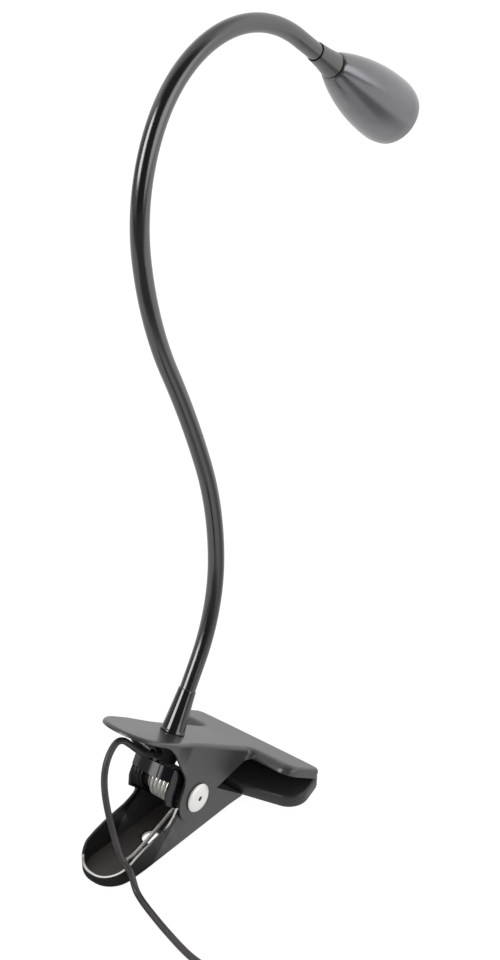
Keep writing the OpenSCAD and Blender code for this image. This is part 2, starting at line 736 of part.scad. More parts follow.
// Outside radius of the head at the distance z along its axis, a swelling curve that
// turns in a little at the mouth, and the inside radius, straight where the lens sits.
function head_r(z) = z < widest
    ? head_neck_d / 2 + (head_d / 2 - head_neck_d / 2) * sin(90 * pow(z / widest, 0.85))
    : mouth_r + (head_d / 2 - mouth_r) * cos(90 * (z - widest) / (head_l - widest));
function head_in_r(z) = z > lens_z - 3 ? lens_bore_r : head_r(z) - head_wall;
head_steps = [for (k = [0 : 20]) head_l * k / 20];

module head_shell() {
    outer = [for (z = head_steps) [head_r(z), z]];
    inner = [for (k = [20 : -1 : 1]) let (z = head_steps[k]) [head_in_r(z), z]];
    color("dimgray") head_frame() rotate_extrude() polygon(concat(outer, inner,
        [[spigot_d / 2 + slip, 2.5], [spigot_d / 2 + slip, 0]]));
}

lens_z = head_l - ring_l;
emitter_t = 1.4;
board_z = lens_z - reflector_l - board_t;
sink_z = board_z - sink_l;
sink_r = head_r(sink_z) - head_wall - seat;

module heat_sink() {
    color("silver") head_frame() translate([0, 0, sink_z]) difference() {
        cylinder(h = sink_l, r = sink_r);
        translate([0, 0, -cut]) cylinder(h = sink_l + 2 * cut, d = 3);
        for (k = [0 : 7]) rotate([0, 0, 45 * k]) translate([sink_r - 2, -0.7, -cut])
            cube([3, 1.4, sink_l + 2 * cut - 2]);
    }
}

module led_board() {
    color("white") head_frame() translate([0, 0, board_z]) difference() {
        cylinder(h = board_t, r = sink_r - 0.4);
        for (y = [-3.6, 3.6]) translate([0, y, -cut]) cylinder(h = board_t + 2 * cut, d = 1.2);
    }
}

module led_emitter() {
    color("khaki") head_frame() translate([0, 0, board_z + board_t]) {
        translate([-1.75, -1.75, 0]) cube([3.5, 3.5, emitter_t / 2]);
        translate([0, 0, emitter_t / 2]) cylinder(h = emitter_t / 2, d = 2.6);
    }
}

module led_wires() {
    wire = 1;
    z0 = neck_end + 5.6;
    color("red") link_frame(LINKS) for (y = [-0.7, 0.7]) translate([0, y, neck_end + 2.1])
        cylinder(h = sink_z - 2.1 + sink_l - slip, d = wire);
}

module reflector() {
    z0 = lens_z - reflector_l + slip;
    color("lightgray") head_frame() difference() {
        translate([0, 0, z0]) cylinder(h = reflector_l - 2 * slip, d1 = 8, d2 = lens_d - 1);
        translate([0, 0, z0 - 0.01]) cylinder(h = reflector_l, d1 = 5.4, d2 = lens_d - 2.2);
    }
}

module lens() {
    color([0.9, 0.95, 1, 0.5]) head_frame() translate([0, 0, lens_z]) {
        cylinder(h = lens_t, d = lens_d);
    }
}

module lens_ring() {
    color([0.1, 0.1, 0.11]) head_frame() translate([0, 0, lens_z + lens_t + slip]) difference() {
        cylinder(h = ring_l - lens_t - slip - 0.4, r = lens_bore_r - slip);
        translate([0, 0, -cut]) cylinder(h = ring_l + cut, r = lens_d / 2 - 1.4);
    }
}

// ---- Cord, switch and driver ----

module cord_lead() {
    color([0.16, 0.15, 0.16]) swept(CORD_ROUTE, cord_d / 2, 0, LEAD_END);
}

module cord_run() {
    color([0.16, 0.15, 0.16]) swept(CORD_ROUTE, cord_d / 2, LEAD_END);
}

module cord_coil() {
    color([0.16, 0.15, 0.16]) translate(coil_centre) rotate_extrude()
        translate([coil_mean_r - coil_half_w, 0]) square([2 * coil_half_w, coil_h]);
}

module coil_tie() {
    tie_w = 5;
    tie_t = 0.8;
    color("black") translate(coil_centre) rotate([0, 0, 225]) difference() {
        translate([coil_mean_r - coil_half_w - tie_t - slip, -tie_w / 2, 0])
            cube([2 * (coil_half_w + tie_t + slip), tie_w, coil_h + tie_t + slip]);
        translate([0, 0, -cut]) rotate_extrude()
            translate([coil_mean_r - coil_half_w - slip, 0])
                square([2 * (coil_half_w + slip), coil_h + slip + cut]);
    }
}

module cord_tail() {
    color([0.16, 0.15, 0.16]) {
        swept(CORD_OUT, cord_d / 2);
        swept(CORD_TAIL, cord_d / 2);
    }
}

// Half of a hollow case lying along y, its rounded outline drawn in (x, y).
module case_half(l, w, z0, z1, floor_low) {
    difference() {
        translate([0, 0, z0]) linear_extrude(z1 - z0) rotate(90) round_rect(-l / 2, l / 2, w, 5);
        translate([0, 0, floor_low ? z0 + case_wall : z0 - cut])
            linear_extrude(z1 - z0 - case_wall + cut) rotate(90)
                round_rect(-l / 2 + case_wall, l / 2 - case_wall, w - 2 * case_wall, 5 - case_wall);
    }
}

split_z = switch_h / 2;
rocker_pin_z = switch_h - 3.2;

module switch_cord_holes() {
    for (side = [-1, 1]) translate([0, side * switch_l / 2 + 4 * side, split_z])
        rotate([90, 0, 0]) translate([0, 0, -8]) cylinder(h = 16, d = cord_d + 2 * slip);
}

module switch_base() {
    color([0.13, 0.13, 0.14]) translate(switch_centre) difference() {
        case_half(switch_l, switch_w, 0, split_z - run_fit, true);
        switch_cord_holes();
    }
}

module switch_cover() {
    color([0.13, 0.13, 0.14]) translate(switch_centre) difference() {
        union() {
            case_half(switch_l, switch_w, split_z, switch_h, false);
            for (side = [-1, 1]) translate([side * (rocker_w / 2 + 1.6) - 1, -3, rocker_pin_z - 3])
                cube([2, 6, 6]);
        }
        switch_cord_holes();
        translate([-rocker_w / 2 - seat, -rocker_l / 2 - seat, split_z])
            cube([rocker_w + 2 * seat, rocker_l + 2 * seat, switch_h]);
        translate([-rocker_w, 0, rocker_pin_z]) rotate([0, 90, 0])
            cylinder(h = 2 * rocker_w, d = 2 + 2 * run_fit);
    }
}

module switch_rocker() {
    color([0.2, 0.2, 0.21]) translate(switch_centre) {
        intersection() {
            translate([-rocker_w / 2, -rocker_l / 2, rocker_pin_z - 2.4])
                cube([rocker_w, rocker_l, 7.2]);
            translate([-rocker_w / 2, 0, rocker_pin_z]) rotate([0, 90, 0])
                cylinder(h = rocker_w, r = rocker_l / 2);
            translate([-rocker_w, 0, rocker_pin_z]) rotate([8, 0, 0])
                translate([0, -rocker_l, -4]) cube([2 * rocker_w, 2 * rocker_l, 8.6]);
        }
        translate([-rocker_w / 2 - 2, 0, rocker_pin_z]) rotate([0, 90, 0])
            cylinder(h = rocker_w + 4, d = 2);
    }
}

driver_split = driver_h * 0.6;
driver_cord_z = 9;
module driver_case(z0, z1, floor_low) {
    rotate(90) case_half(driver_l, driver_w, z0, z1, floor_low);
}

module driver_cord_hole() {
    translate([-driver_l / 2 - cut, 0, driver_cord_z]) rotate([0, 90, 0])
        cylinder(h = case_wall + 2 * cut, d = cord_d + 2 * slip);
}

module driver_base() {
    color([0.13, 0.13, 0.14]) translate(driver_centre) rotate(driver_turn) difference() {
        driver_case(0, driver_split - run_fit, true);
        driver_cord_hole();
    }
}

module pin_places() {
    for (side = [-1, 1]) translate([driver_l / 2 - 16, side * plug_pitch / 2, driver_h]) children();
}

module driver_cover() {
    color([0.13, 0.13, 0.14]) translate(driver_centre) rotate(driver_turn) difference() {
        driver_case(driver_split, driver_h, false);
        pin_places() translate([0, 0, -case_wall - cut])
            cylinder(h = case_wall + 2 * cut, d = pin_shank_d + 2 * run_fit);
    }
}

board_top = case_wall + 2.4 + 1.6;
module driver_board() {
    color("darkgreen") translate(driver_centre) rotate(driver_turn) {
        translate([-driver_l / 2 + 4, -driver_w / 2 + 4, case_wall])
            cube([driver_l - 8, driver_w - 8, board_top - case_wall]);
        translate([-8, -8, board_top]) cube([14, 16, 11]);
        translate([-18, 6, board_top]) cylinder(h = 10, d = 8);
    }
}

module plug_pins() {
    color("silver") translate(driver_centre) rotate(driver_turn) pin_places() {
        translate([0, 0, pin_lift]) cylinder(h = plug_pin_l, d = plug_pin_d);
        translate([0, 0, -case_wall - pin_root])
            cylinder(h = case_wall + pin_root + pin_lift, d = pin_shank_d);
        translate([0, 0, -case_wall - pin_root - pin_head_t])
            cylinder(h = pin_head_t, d = plug_pin_d + 3);
    }
}

lower_shell();
upper_shell();
lower_jaw_pad();
upper_jaw_pad();
handle_liner();
pivot_rivet();
pivot_washers();
pivot_sleeve();
torsion_spring();
spring_cover();
base_ferrule();
threaded_stud();
lock_nut();
strain_relief();
neck_sleeve(0);  // neck_sleeve_0
neck_sleeve(1);  // neck_sleeve_1
neck_sleeve(2);  // neck_sleeve_2
neck_sleeve(3);  // neck_sleeve_3
neck_sleeve(4);  // neck_sleeve_4
neck_sleeve(5);  // neck_sleeve_5
neck_sleeve(6);  // neck_sleeve_6
neck_sleeve(7);  // neck_sleeve_7
neck_core(0);  // neck_core_0
neck_core(1);  // neck_core_1
neck_core(2);  // neck_core_2
neck_core(3);  // neck_core_3
neck_core(4);  // neck_core_4
neck_core(5);  // neck_core_5
neck_core(6);  // neck_core_6
neck_core(7);  // neck_core_7
neck_lead(0);  // neck_lead_0
neck_lead(1);  // neck_lead_1
neck_lead(2);  // neck_lead_2
neck_lead(3);  // neck_lead_3
neck_lead(4);  // neck_lead_4
neck_lead(5);  // neck_lead_5
neck_lead(6);  // neck_lead_6
neck_lead(7);  // neck_lead_7
head_collar();
head_shell();
heat_sink();
led_board();
led_emitter();
led_wires();
reflector();
lens();
lens_ring();
cord_lead();
cord_run();
cord_coil();
coil_tie();
cord_tail();
switch_base();
switch_cover();
switch_rocker();
driver_base();
driver_cover();
driver_board();
plug_pins();
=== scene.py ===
"""Clip-on reading lamp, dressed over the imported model. Blender works in metres. The lamp's
measures are in millimetres until they are multiplied by MM."""
import json
import math

import bmesh
import bpy
from mathutils import Matrix, Vector, geometry

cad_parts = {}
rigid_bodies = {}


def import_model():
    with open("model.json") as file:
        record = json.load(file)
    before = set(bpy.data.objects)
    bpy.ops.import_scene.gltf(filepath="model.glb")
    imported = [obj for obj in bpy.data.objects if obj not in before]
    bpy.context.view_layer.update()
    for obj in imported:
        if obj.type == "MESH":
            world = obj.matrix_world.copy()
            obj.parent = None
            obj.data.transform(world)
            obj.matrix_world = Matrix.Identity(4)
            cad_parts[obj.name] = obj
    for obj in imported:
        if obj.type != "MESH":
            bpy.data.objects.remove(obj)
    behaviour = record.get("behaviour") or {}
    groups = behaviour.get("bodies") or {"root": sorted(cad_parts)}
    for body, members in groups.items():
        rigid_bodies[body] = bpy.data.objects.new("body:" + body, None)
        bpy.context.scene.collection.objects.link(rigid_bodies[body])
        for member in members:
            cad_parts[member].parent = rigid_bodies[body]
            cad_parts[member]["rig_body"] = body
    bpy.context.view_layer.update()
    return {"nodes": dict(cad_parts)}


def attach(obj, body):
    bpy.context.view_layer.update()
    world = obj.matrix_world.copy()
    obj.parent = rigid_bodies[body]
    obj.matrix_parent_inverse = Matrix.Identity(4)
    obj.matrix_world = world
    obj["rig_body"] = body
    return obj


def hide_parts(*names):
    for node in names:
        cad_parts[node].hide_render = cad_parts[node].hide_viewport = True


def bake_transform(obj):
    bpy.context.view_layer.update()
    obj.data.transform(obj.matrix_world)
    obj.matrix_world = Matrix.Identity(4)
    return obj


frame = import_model()
MM = 0.001
scene = bpy.context.scene
NODES = frame["nodes"]

# ---------------------------------------------------------------- camera
FORWARD = Vector((0.775, 0.632, 0.0)).normalized()
PITCH = math.radians(24.0)
CAMERA_AT = Vector((-349.5, -333.6, 402.1)) * MM
cam_data = bpy.data.cameras.new("camera")
cam = bpy.data.objects.new("camera", cam_data)
scene.collection.objects.link(cam)
cam.location = CAMERA_AT
look = FORWARD * math.cos(PITCH) + Vector((0, 0, -math.sin(PITCH)))
cam.rotation_mode = "QUATERNION"
cam.rotation_quaternion = look.to_track_quat("-Z", "Y")
cam_data.lens = 45.0
cam_data.sensor_width = 36.0
cam_data.clip_start = 0.02
cam_data.clip_end = 60.0
scene.camera = cam


# ---------------------------------------------------------------- materials
def new_material(name):
    """Material, its node tree and its shader."""
    mat = bpy.data.materials.new(name)
    mat.use_nodes = True
    nt = mat.node_tree
    return mat, nt, nt.nodes["Principled BSDF"]


def add(nt, kind, **inputs):
    """New node, with each value set on the input or the property of that name."""
    node = nt.nodes.new(kind)
    for key, value in inputs.items():
        if key in node.inputs:
            node.inputs[key].default_value = value
        else:
            setattr(node, key, value)
    return node


def noise(nt, scale, detail=3.0, rough=0.5):
    """Noise in object coordinates, at a scale in features per metre."""
    coord = add(nt, "ShaderNodeTexCoord")
    tex = add(nt, "ShaderNodeTexNoise", Scale=scale, Detail=detail, Roughness=rough)
    nt.links.new(coord.outputs["Object"], tex.inputs["Vector"])
    return tex.outputs["Fac"]


def ramp(nt, source, low, high):
    """Colour from low to high over the middle of the source's range."""
    node = add(nt, "ShaderNodeValToRGB")
    for element, position, colour in zip(node.color_ramp.elements, (0.35, 0.65), (low, high)):
        element.position = position
        element.color = (*colour, 1)
    nt.links.new(source, node.inputs["Fac"])
    return node.outputs["Color"]


def spread(nt, source, low, high):
    """The source's range of 0 to 1, as low to high."""
    node = add(nt, "ShaderNodeMapRange")
    node.inputs["To Min"].default_value = low
    node.inputs["To Max"].default_value = high
    nt.links.new(source, node.inputs["Value"])
    return node.outputs["Result"]


def bump(nt, bsdf, source, height, before=None):
    """Relief of the given height in metres, on top of an earlier one if there is one."""
    node = add(nt, "ShaderNodeBump", Distance=height, Strength=1.0)
    nt.links.new(source, node.inputs["Height"])
    if before is not None:
        nt.links.new(before.outputs["Normal"], node.inputs["Normal"])
    nt.links.new(node.outputs["Normal"], bsdf.inputs["Normal"])
    return node


def surface(name, low, high, rough, rough_spread=0.06, metal=0.0, ior=1.5, grain=900,
            grain_h=0.00001, blotch=45, wave_h=0.0, wave=160):
    """A finish with a slow change of colour and gloss, a fine grain and a faint waviness.
    blotch, grain and wave are in features per metre, grain_h and wave_h are heights."""
    mat, nt, bsdf = new_material(name)
    slow = noise(nt, blotch, 4.0, 0.55)
    nt.links.new(ramp(nt, slow, low, high), bsdf.inputs["Base Color"])
    fine = noise(nt, grain, 2.0, 0.6)
    nt.links.new(spread(nt, slow, rough - rough_spread, rough + rough_spread),
                 bsdf.inputs["Roughness"])
    first = bump(nt, bsdf, fine, grain_h)
    if wave_h:
        bump(nt, bsdf, noise(nt, wave, 2.0, 0.5), wave_h, before=first)
    bsdf.inputs["Metallic"].default_value = metal
    bsdf.inputs["IOR"].default_value = ior
    return mat


PAINT = surface("satin_clamp_paint", (0.030, 0.030, 0.031), (0.040, 0.040, 0.041), 0.30,
                grain=1400, grain_h=0.000006, wave_h=0.00002, wave=120, ior=1.8)
EDGE_STEEL = surface("bare_edge_steel", (0.62, 0.60, 0.57), (0.76, 0.73, 0.70), 0.24,
                     metal=1.0, grain=2200, grain_h=0.000006)
RUBBER = surface("moulded_rubber", (0.020, 0.020, 0.020), (0.030, 0.030, 0.030), 0.36,
                 grain=2600, grain_h=0.00002, ior=1.5)
LINER = surface("handle_liner_rubber", (0.042, 0.041, 0.036), (0.058, 0.056, 0.050), 0.5,
                grain=1900, grain_h=0.00003)
# Painted shade: a near-black paint for the lower shell's handle end, in place of the dark
# reflections and shadow on its walls.
HANDLE_END_SHADE_PAINT = surface("handle_end_painted_shade", (0.008, 0.008, 0.008), (0.014, 0.014, 0.013), 0.34,
               grain=1900, grain_h=0.00001)
NICKEL = surface("plated_rivet", (0.93, 0.92, 0.90), (0.98, 0.97, 0.95), 0.34, metal=0.2,
                 grain=1800, grain_h=0.000008)
BRASS_BORE = surface("rivet_bore", (0.16, 0.11, 0.05), (0.26, 0.18, 0.08), 0.4, metal=0.8)
WASHER = surface("nylon_washer", (0.70, 0.69, 0.66), (0.80, 0.79, 0.76), 0.45)
SLEEVE = surface("pivot_sleeve_nylon", (0.62, 0.60, 0.56), (0.72, 0.70, 0.66), 0.4)
SPRING = surface("spring_wire", (0.88, 0.86, 0.82), (0.96, 0.94, 0.90), 0.26, metal=0.6,
                 grain=2600, grain_h=0.000006)
COVER = surface("gloss_spring_cover", (0.004, 0.004, 0.006), (0.008, 0.008, 0.011), 0.12,
                rough_spread=0.04, grain=1200, grain_h=0.000003, wave_h=0.00003, wave=90)
CHROME_BLACK = surface("black_ferrule", (0.004, 0.004, 0.005), (0.008, 0.008, 0.009), 0.08,
                       rough_spread=0.03, grain=1500, grain_h=0.000003, ior=2.0)
PLATED = surface("zinc_plated", (0.44, 0.43, 0.42), (0.58, 0.57, 0.55), 0.34, metal=1.0)
RELIEF = surface("strain_relief_rubber", (0.010, 0.010, 0.011), (0.016, 0.016, 0.017), 0.5)
NECK = surface("neck_sleeve_gloss", (0.0025, 0.0025, 0.003), (0.005, 0.005, 0.0055), 0.20,
               rough_spread=0.05, grain=1100, grain_h=0.000004, wave_h=0.000012, wave=110,
               blotch=30, ior=2.2)
HEAD = surface("satin_head_enamel", (0.215, 0.215, 0.225), (0.25, 0.25, 0.262), 0.24,
               rough_spread=0.04, metal=0.95, grain=1700, grain_h=0.000005, ior=1.6)
COLLAR = surface("collar_satin", (0.012, 0.012, 0.012), (0.020, 0.020, 0.018), 0.24,
                 grain=1500, grain_h=0.000005, ior=2.2)
SINK = surface("cast_heat_sink", (0.50, 0.50, 0.50), (0.62, 0.62, 0.62), 0.38, metal=1.0,
               grain=1300, grain_h=0.00002)
BOARD = surface("white_board", (0.70, 0.70, 0.68), (0.78, 0.78, 0.76), 0.42)
EMITTER = surface("emitter_phosphor", (0.78, 0.66, 0.22), (0.86, 0.76, 0.32), 0.35)
REFLECTOR = surface("reflector_film", (0.84, 0.84, 0.84), (0.90, 0.90, 0.90), 0.10, metal=1.0,
                    grain=700, grain_h=0.000004)
CORD = surface("cord_pvc", (0.038, 0.035, 0.037), (0.058, 0.054, 0.056), 0.36,
               grain=1500, grain_h=0.000012, wave_h=0.00002, wave=130)
TIE = surface("tie_nylon", (0.012, 0.012, 0.013), (0.02, 0.02, 0.021), 0.38)
CASE = surface("case_plastic", (0.017, 0.017, 0.018), (0.026, 0.026, 0.027), 0.44,
               grain=1500, grain_h=0.00003)
ROCKER = surface("rocker_plastic", (0.010, 0.010, 0.010), (0.015, 0.015, 0.015), 0.2)
CIRCUIT = surface("circuit_board", (0.03, 0.14, 0.05), (0.05, 0.20, 0.08), 0.4)
PIN = surface("plug_pin_brass", (0.62, 0.58, 0.50), (0.74, 0.70, 0.62), 0.25, metal=1.0)
WIRE = surface("lead_insulation", (0.34, 0.03, 0.02), (0.44, 0.05, 0.03), 0.35)
CORE = surface("neck_core_steel", (0.50, 0.49, 0.47), (0.62, 0.61, 0.59), 0.36, metal=1.0)


def lens_material():
    mat, nt, bsdf = new_material("frosted_lens")
    bump(nt, bsdf, noise(nt, 1600, 2.0), 0.00004)
    bsdf.inputs["Base Color"].default_value = (0.92, 0.94, 0.95, 1)
    bsdf.inputs["Roughness"].default_value = 0.22
    bsdf.inputs["Transmission Weight"].default_value = 0.9
    bsdf.inputs["IOR"].default_value = 1.49
    return mat


LENS = lens_material()


# ---------------------------------------------------------------- mesh helpers
def finish_mesh(name, bm, materials, sharp=40.0):
    """Makes an object from a bmesh, smooth except across edges sharper than the angle."""
    bm.normal_update()
    for face in bm.faces:
        face.smooth = True
    limit = math.radians(sharp)
    for edge in bm.edges:
        if len(edge.link_faces) == 2 and edge.calc_face_angle(0.0) > limit:
            edge.smooth = False
    mesh = bpy.data.meshes.new(name)
    bm.to_mesh(mesh)
    bm.free()
    for mat in materials if isinstance(materials, (list, tuple)) else [materials]:
        mesh.materials.append(mat)
    obj = bpy.data.objects.new(name, mesh)
    scene.collection.objects.link(obj)
    return obj


def apply_modifiers(obj):
    """Replaces an object's mesh with what its modifiers make of it."""
    dg = bpy.context.evaluated_depsgraph_get()
    baked = bpy.data.meshes.new_from_object(obj.evaluated_get(dg))
    obj.modifiers.clear()
    old = obj.data
    obj.data = baked
    bpy.data.meshes.remove(old)
    return obj


def smooth_line(points, steps):
    """Catmull-Rom line through the points."""
    pts = [Vector(p) for p in points]
    out = []
    for i in range(len(pts) - 1):
        p0, p1, p2, p3 = pts[max(i - 1, 0)], pts[i], pts[i + 1], pts[min(i + 2, len(pts) - 1)]
        for k in range(steps):
            t = k / steps
            out.append(0.5 * ((2 * p1) + (p2 - p0) * t + (2 * p0 - 5 * p1 + 4 * p2 - p3) * t * t
                              + (3 * p1 - p0 - 3 * p2 + p3) * t * t * t))
    out.append(pts[-1])
    return out


def tube(name, points, r, material, sides=16, caps=True, tangents=None):
    """Round tube along the points, its rings carried along without twist."""
    bm = bmesh.new()
    n = len(points)
    rings = []
    t0 = (points[1] - points[0]).normalized()
    side = t0.cross(Vector((0, 1, 0)) if abs(t0.y) < 0.9 else Vector((0, 0, 1))).normalized()
    for i, p in enumerate(points):
        t = (points[min(i + 1, n - 1)] - points[max(i - 1, 0)]).normalized()
        if tangents:
            t = tangents[i]
        side = (side - t * side.dot(t)).normalized()
        up = t.cross(side)
        rings.append([bm.verts.new(p + r * (math.cos(a) * side + math.sin(a) * up))
                      for a in (2 * math.pi * k / sides for k in range(sides))])
    for a, b in zip(rings, rings[1:]):
        for k in range(sides):
            bm.faces.new((a[k], a[(k + 1) % sides], b[(k + 1) % sides], b[k]))
    if caps:
        bm.faces.new(list(reversed(rings[0])))
        bm.faces.new(rings[-1])
    bmesh.ops.recalc_face_normals(bm, faces=bm.faces)
    return finish_mesh(name, bm, material, 50)


def lathe(name, profile, matrix, materials, steps=64, band=None):
    """Turned piece: profile is (radius, height) pairs in mm, and closes on itself unless an
    end lies on the axis. band is the range of profile indices that get the second material."""
    bm = bmesh.new()
    rings = []
    for r, z in profile:
        if r <= 1e-6:
            rings.append([bm.verts.new(matrix @ (Vector((0, 0, z)) * MM))])
        else:
            rings.append([
                bm.verts.new(matrix @ (Vector((r * math.cos(a), r * math.sin(a), z)) * MM))
                for a in (2 * math.pi * k / steps for k in range(steps))])
    pairs = list(zip(rings, rings[1:]))
    if profile[0][0] > 1e-6 and profile[-1][0] > 1e-6:
        pairs.append((rings[-1], rings[0]))
    for index, (a, b) in enumerate(pairs):
        for k in range(steps):
            m = (k + 1) % steps
            if len(a) == 1:
                face = (a[0], b[m], b[k])
            elif len(b) == 1:
                face = (a[k], a[m], b[0])
            else:
                face = (a[k], a[m], b[m], b[k])
            made = bm.faces.new(face)
            if band and index in band:
                made.material_index = 1
    bmesh.ops.recalc_face_normals(bm, faces=bm.faces)
    return finish_mesh(name, bm, materials, 35)


def rounded(profile, r, steps=3):
    """Rounds the corners of an open (radius, height) profile with small arcs."""
    out = [profile[0]]
    for a, b, c in zip(profile, profile[1:], profile[2:]):
        va, vb, vc = Vector(a), Vector(b), Vector(c)
        d = min(r, (va - vb).length * 0.45, (vc - vb).length * 0.45)
        p, q = vb + (va - vb).normalized() * d, vb + (vc - vb).normalized() * d
        for k in range(steps + 1):
            t = k / steps
            v = p * (1 - t) ** 2 + 2 * vb * t * (1 - t) + q * t * t
            out.append((v.x, v.y))
    out.append(profile[-1])
    return out


def settle(obj, body, slot, *nodes):
    """Puts a piece on its body and hides the CAD nodes it stands for."""
    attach(obj, body)
    if nodes:
        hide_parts(*nodes)
    return obj


def dress(node, name, material, slot, width, segments=2):
    """The CAD node's own shape with its edges rounded by width mm, as a new piece."""
    source = NODES[node]
    bm = bmesh.new()
    bm.from_mesh(source.data)
    bmesh.ops.remove_doubles(bm, verts=bm.verts, dist=0.01 * MM)
    bmesh.ops.dissolve_limit(bm, angle_limit=math.radians(1.2), verts=bm.verts, edges=bm.edges)
    obj = finish_mesh(name, bm, material)
    mod = obj.modifiers.new("round", "BEVEL")
    mod.width = width * MM
    mod.segments = segments
    mod.limit_method = "ANGLE"
    mod.angle_limit = math.radians(35.0)
    mod.harden_normals = True
    apply_modifiers(obj)
    return settle(obj, source["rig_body"], slot, node)


def paint(material, *nodes):
    """Gives CAD nodes that stay visible their material."""
    for n in nodes:
        mesh = NODES[n].data
        mesh.materials.clear()
        mesh.materials.append(material)


# ---------------------------------------------------------------- lamp's own frames
TILT = math.radians(32.0)
PIVOT_Z = 22.5
PIVOT_TO_TOP = 26.7
PIVOT_S = PIVOT_TO_TOP * math.tan(TILT)
# Height of the neck's foot on the upper shell, and the shell's own frame there.
BASE_Z = PIVOT_Z + PIVOT_TO_TOP / math.cos(TILT)
UPPER = Matrix.Translation((0, 0, BASE_Z * MM)) @ Matrix.Rotation(TILT, 4, "Y")
# The neck is a straight root, seven arcs of equal length and these turns, and a straight end.
TURNS = [-31, -20, -7, 20, 35, 44, 44]
NECK_ROOT, NECK_LINK, NECK_END = 36.0, 53.0, 29.0
NECK_SLEEVE_R = 4.0


def direction(a):
    """Unit vector in the lamp's plane, a away from upright."""
    return Vector((math.sin(a), 0, math.cos(a)))


def heading(i):
    """Direction of the neck's line at the start of its arc i, counted from 0."""
    return TILT + math.radians(sum(TURNS[:i]))


def link_starts():
    """Points in mm where the neck's arcs start, and where the last one ends."""
    at = Vector((0, 0, BASE_Z)) + NECK_ROOT * direction(TILT)
    out = [at.copy()]
    for i, turn in enumerate(TURNS):
        half = math.radians(turn) / 2
        at = at + NECK_LINK * math.sin(half) / half * direction(heading(i) + half)
        out.append(at.copy())
    return out


STARTS = link_starts()


def neck_point(s):
    """Point on the neck's line at the distance s from the plate, in mm, and its heading."""
    if s <= NECK_ROOT:
        return (Vector((0, 0, BASE_Z)) + s * direction(TILT), TILT)
    i = min(int((s - NECK_ROOT) / NECK_LINK), len(TURNS))
    along = s - NECK_ROOT - i * NECK_LINK
    if i == len(TURNS):
        a = heading(i)
        return (STARTS[i] + along * direction(a), a)
    turn = math.radians(TURNS[i]) * along / NECK_LINK
    a = heading(i) + turn / 2
    chord = along if abs(turn) < 1e-9 else along * math.sin(turn / 2) / (turn / 2)
    return (STARTS[i] + chord * direction(a), heading(i) + turn)


NECK_TOP = NECK_ROOT + NECK_LINK * len(TURNS) + NECK_END
HEAD_AT, HEAD_TURN = neck_point(NECK_TOP)
HEAD_FRAME = Matrix.Translation(HEAD_AT * MM) @ Matrix.Rotation(HEAD_TURN, 4, "Y")

# ---------------------------------------------------------------- cords
CORD_D = 3.2
CORD_R = CORD_D / 2
CORD_ROUTE = [
    (-13.8, 0, 48.6), (-17, 0, 50.7), (-21, 0, 54), (-25, 0, 58.4), (-29, 0, 63.4),
    (-33, 0, 67.6), (-37, -0.1, 68.9), (-41, -0.4, 66.9), (-44.4, -0.8, 63),
    (-46.7, -1.3, 58), (-47.9, -1.9, 52.2), (-48.3, -2.6, 46), (-48.2, -3.4, 39.6),
    (-47.9, -4.4, 33.2), (-47.8, -5.8, 27), (-47.9, -7.6, 21.4), (-48, -9.6, 16.6),
    (-47.9, -11.8, 13), (-47.8, -14.4, 11.2), (-48.1, -16.9, 8.6), (-48.6, -18.7, 5.2),
    (-49.6, -21.2, 2.6), (-51, -25, 1.6), (-53.2, -31, 1.6), (-55.4, -38, 1.6),
    (-57.6, -45.4, 1.6), (-59.6, -53, 1.6), (-61.4, -60.4, 1.6), (-62.6, -67.6, 1.6),
    (-62.9, -75.6, 1.6), (-62.3, -84, 1.6), (-61.2, -92, 1.6), (-60.6, -100, 1.6)]
CORD_OUT = [
    (-84, -123.4, 1.6), (-90, -123.6, 1.6), (-96.6, -123.6, 1.6), (-103, -122.4, 1.9),
    (-109.4, -119.4, 2.8), (-114.4, -114.6, 4.2), (-117.2, -108.4, 5.6),
    (-118, -102, 6.6), (-118, -96, 7)]
CORD_TAIL = [
    (-118, -42, 7), (-118, -37.8, 6.7), (-118, -34, 5.6), (-119.2, -28, 4),
    (-122.6, -22.9, 2.5), (-127.7, -19.5, 1.7), (-133.8, -18.3, 1.6),
    (-139.8, -19.5, 1.6), (-144.9, -22.9, 1.6), (-148.3, -28, 1.7), (-149.5, -34, 2.4),
    (-149.5, -39.5, 4), (-149.5, -45, 6.2), (-149.5, -50.5, 8.2), (-149.5, -56, 9)]
COIL_CENTRE = (-84.0, -100.0)
WOUND_R = 23.4
FULL_TURNS = 10
# Cells of the coil's section, as (column from the outside, layer), in the order wound.
WOUND = [(0, 0), (1, 0), (2, 0), (3, 0), (3, 1), (3, 2), (2, 2), (2, 1), (1, 1), (1, 2),
         (0, 1), (0, 0)]
# Where each turn starts to move over to its next cell, in degrees past the cord's entry,
# and how far it takes. One turn goes round by the free corner.
MOVES = [(26, 46), (20, 46), (14, 46), (4, 46), (4, 46), (-12, 46), (-28, 46), (-44, 46),
         (-60, 46), (-76, 150), (42, 47)]
CORNER_TURN, CORNER = 9, (0, 2)


def coil_cell(turn, degrees):
    """Column and layer of the cord at that angle of that turn."""
    start, over = MOVES[turn]
    share = min(max((degrees - start) / over, 0.0), 1.0)
    share = share * share * (3 - 2 * share)
    a, b = WOUND[turn], WOUND[turn + 1]
    if turn == CORNER_TURN:
        a, b, share = (a, CORNER, 2 * share) if share < 0.5 else (CORNER, b, 2 * share - 1)
    return (a[0] + (b[0] - a[0]) * share, a[1] + (b[1] - a[1]) * share)


def coil_line():
    """The coil's centreline, wound clockwise from its right side to its near side."""
    out = []
    step = 8
    for angle in range(step, 360 * FULL_TURNS + 90, step):
        turn = (angle + 90) // 360
        column, layer = coil_cell(turn, angle - 360 * turn)
        radius = WOUND_R - CORD_D * column
        a = -math.radians(angle)
        out.append(Vector((COIL_CENTRE[0] + radius * math.cos(a),
                           COIL_CENTRE[1] + radius * math.sin(a), CORD_R + CORD_D * layer)))
    return out


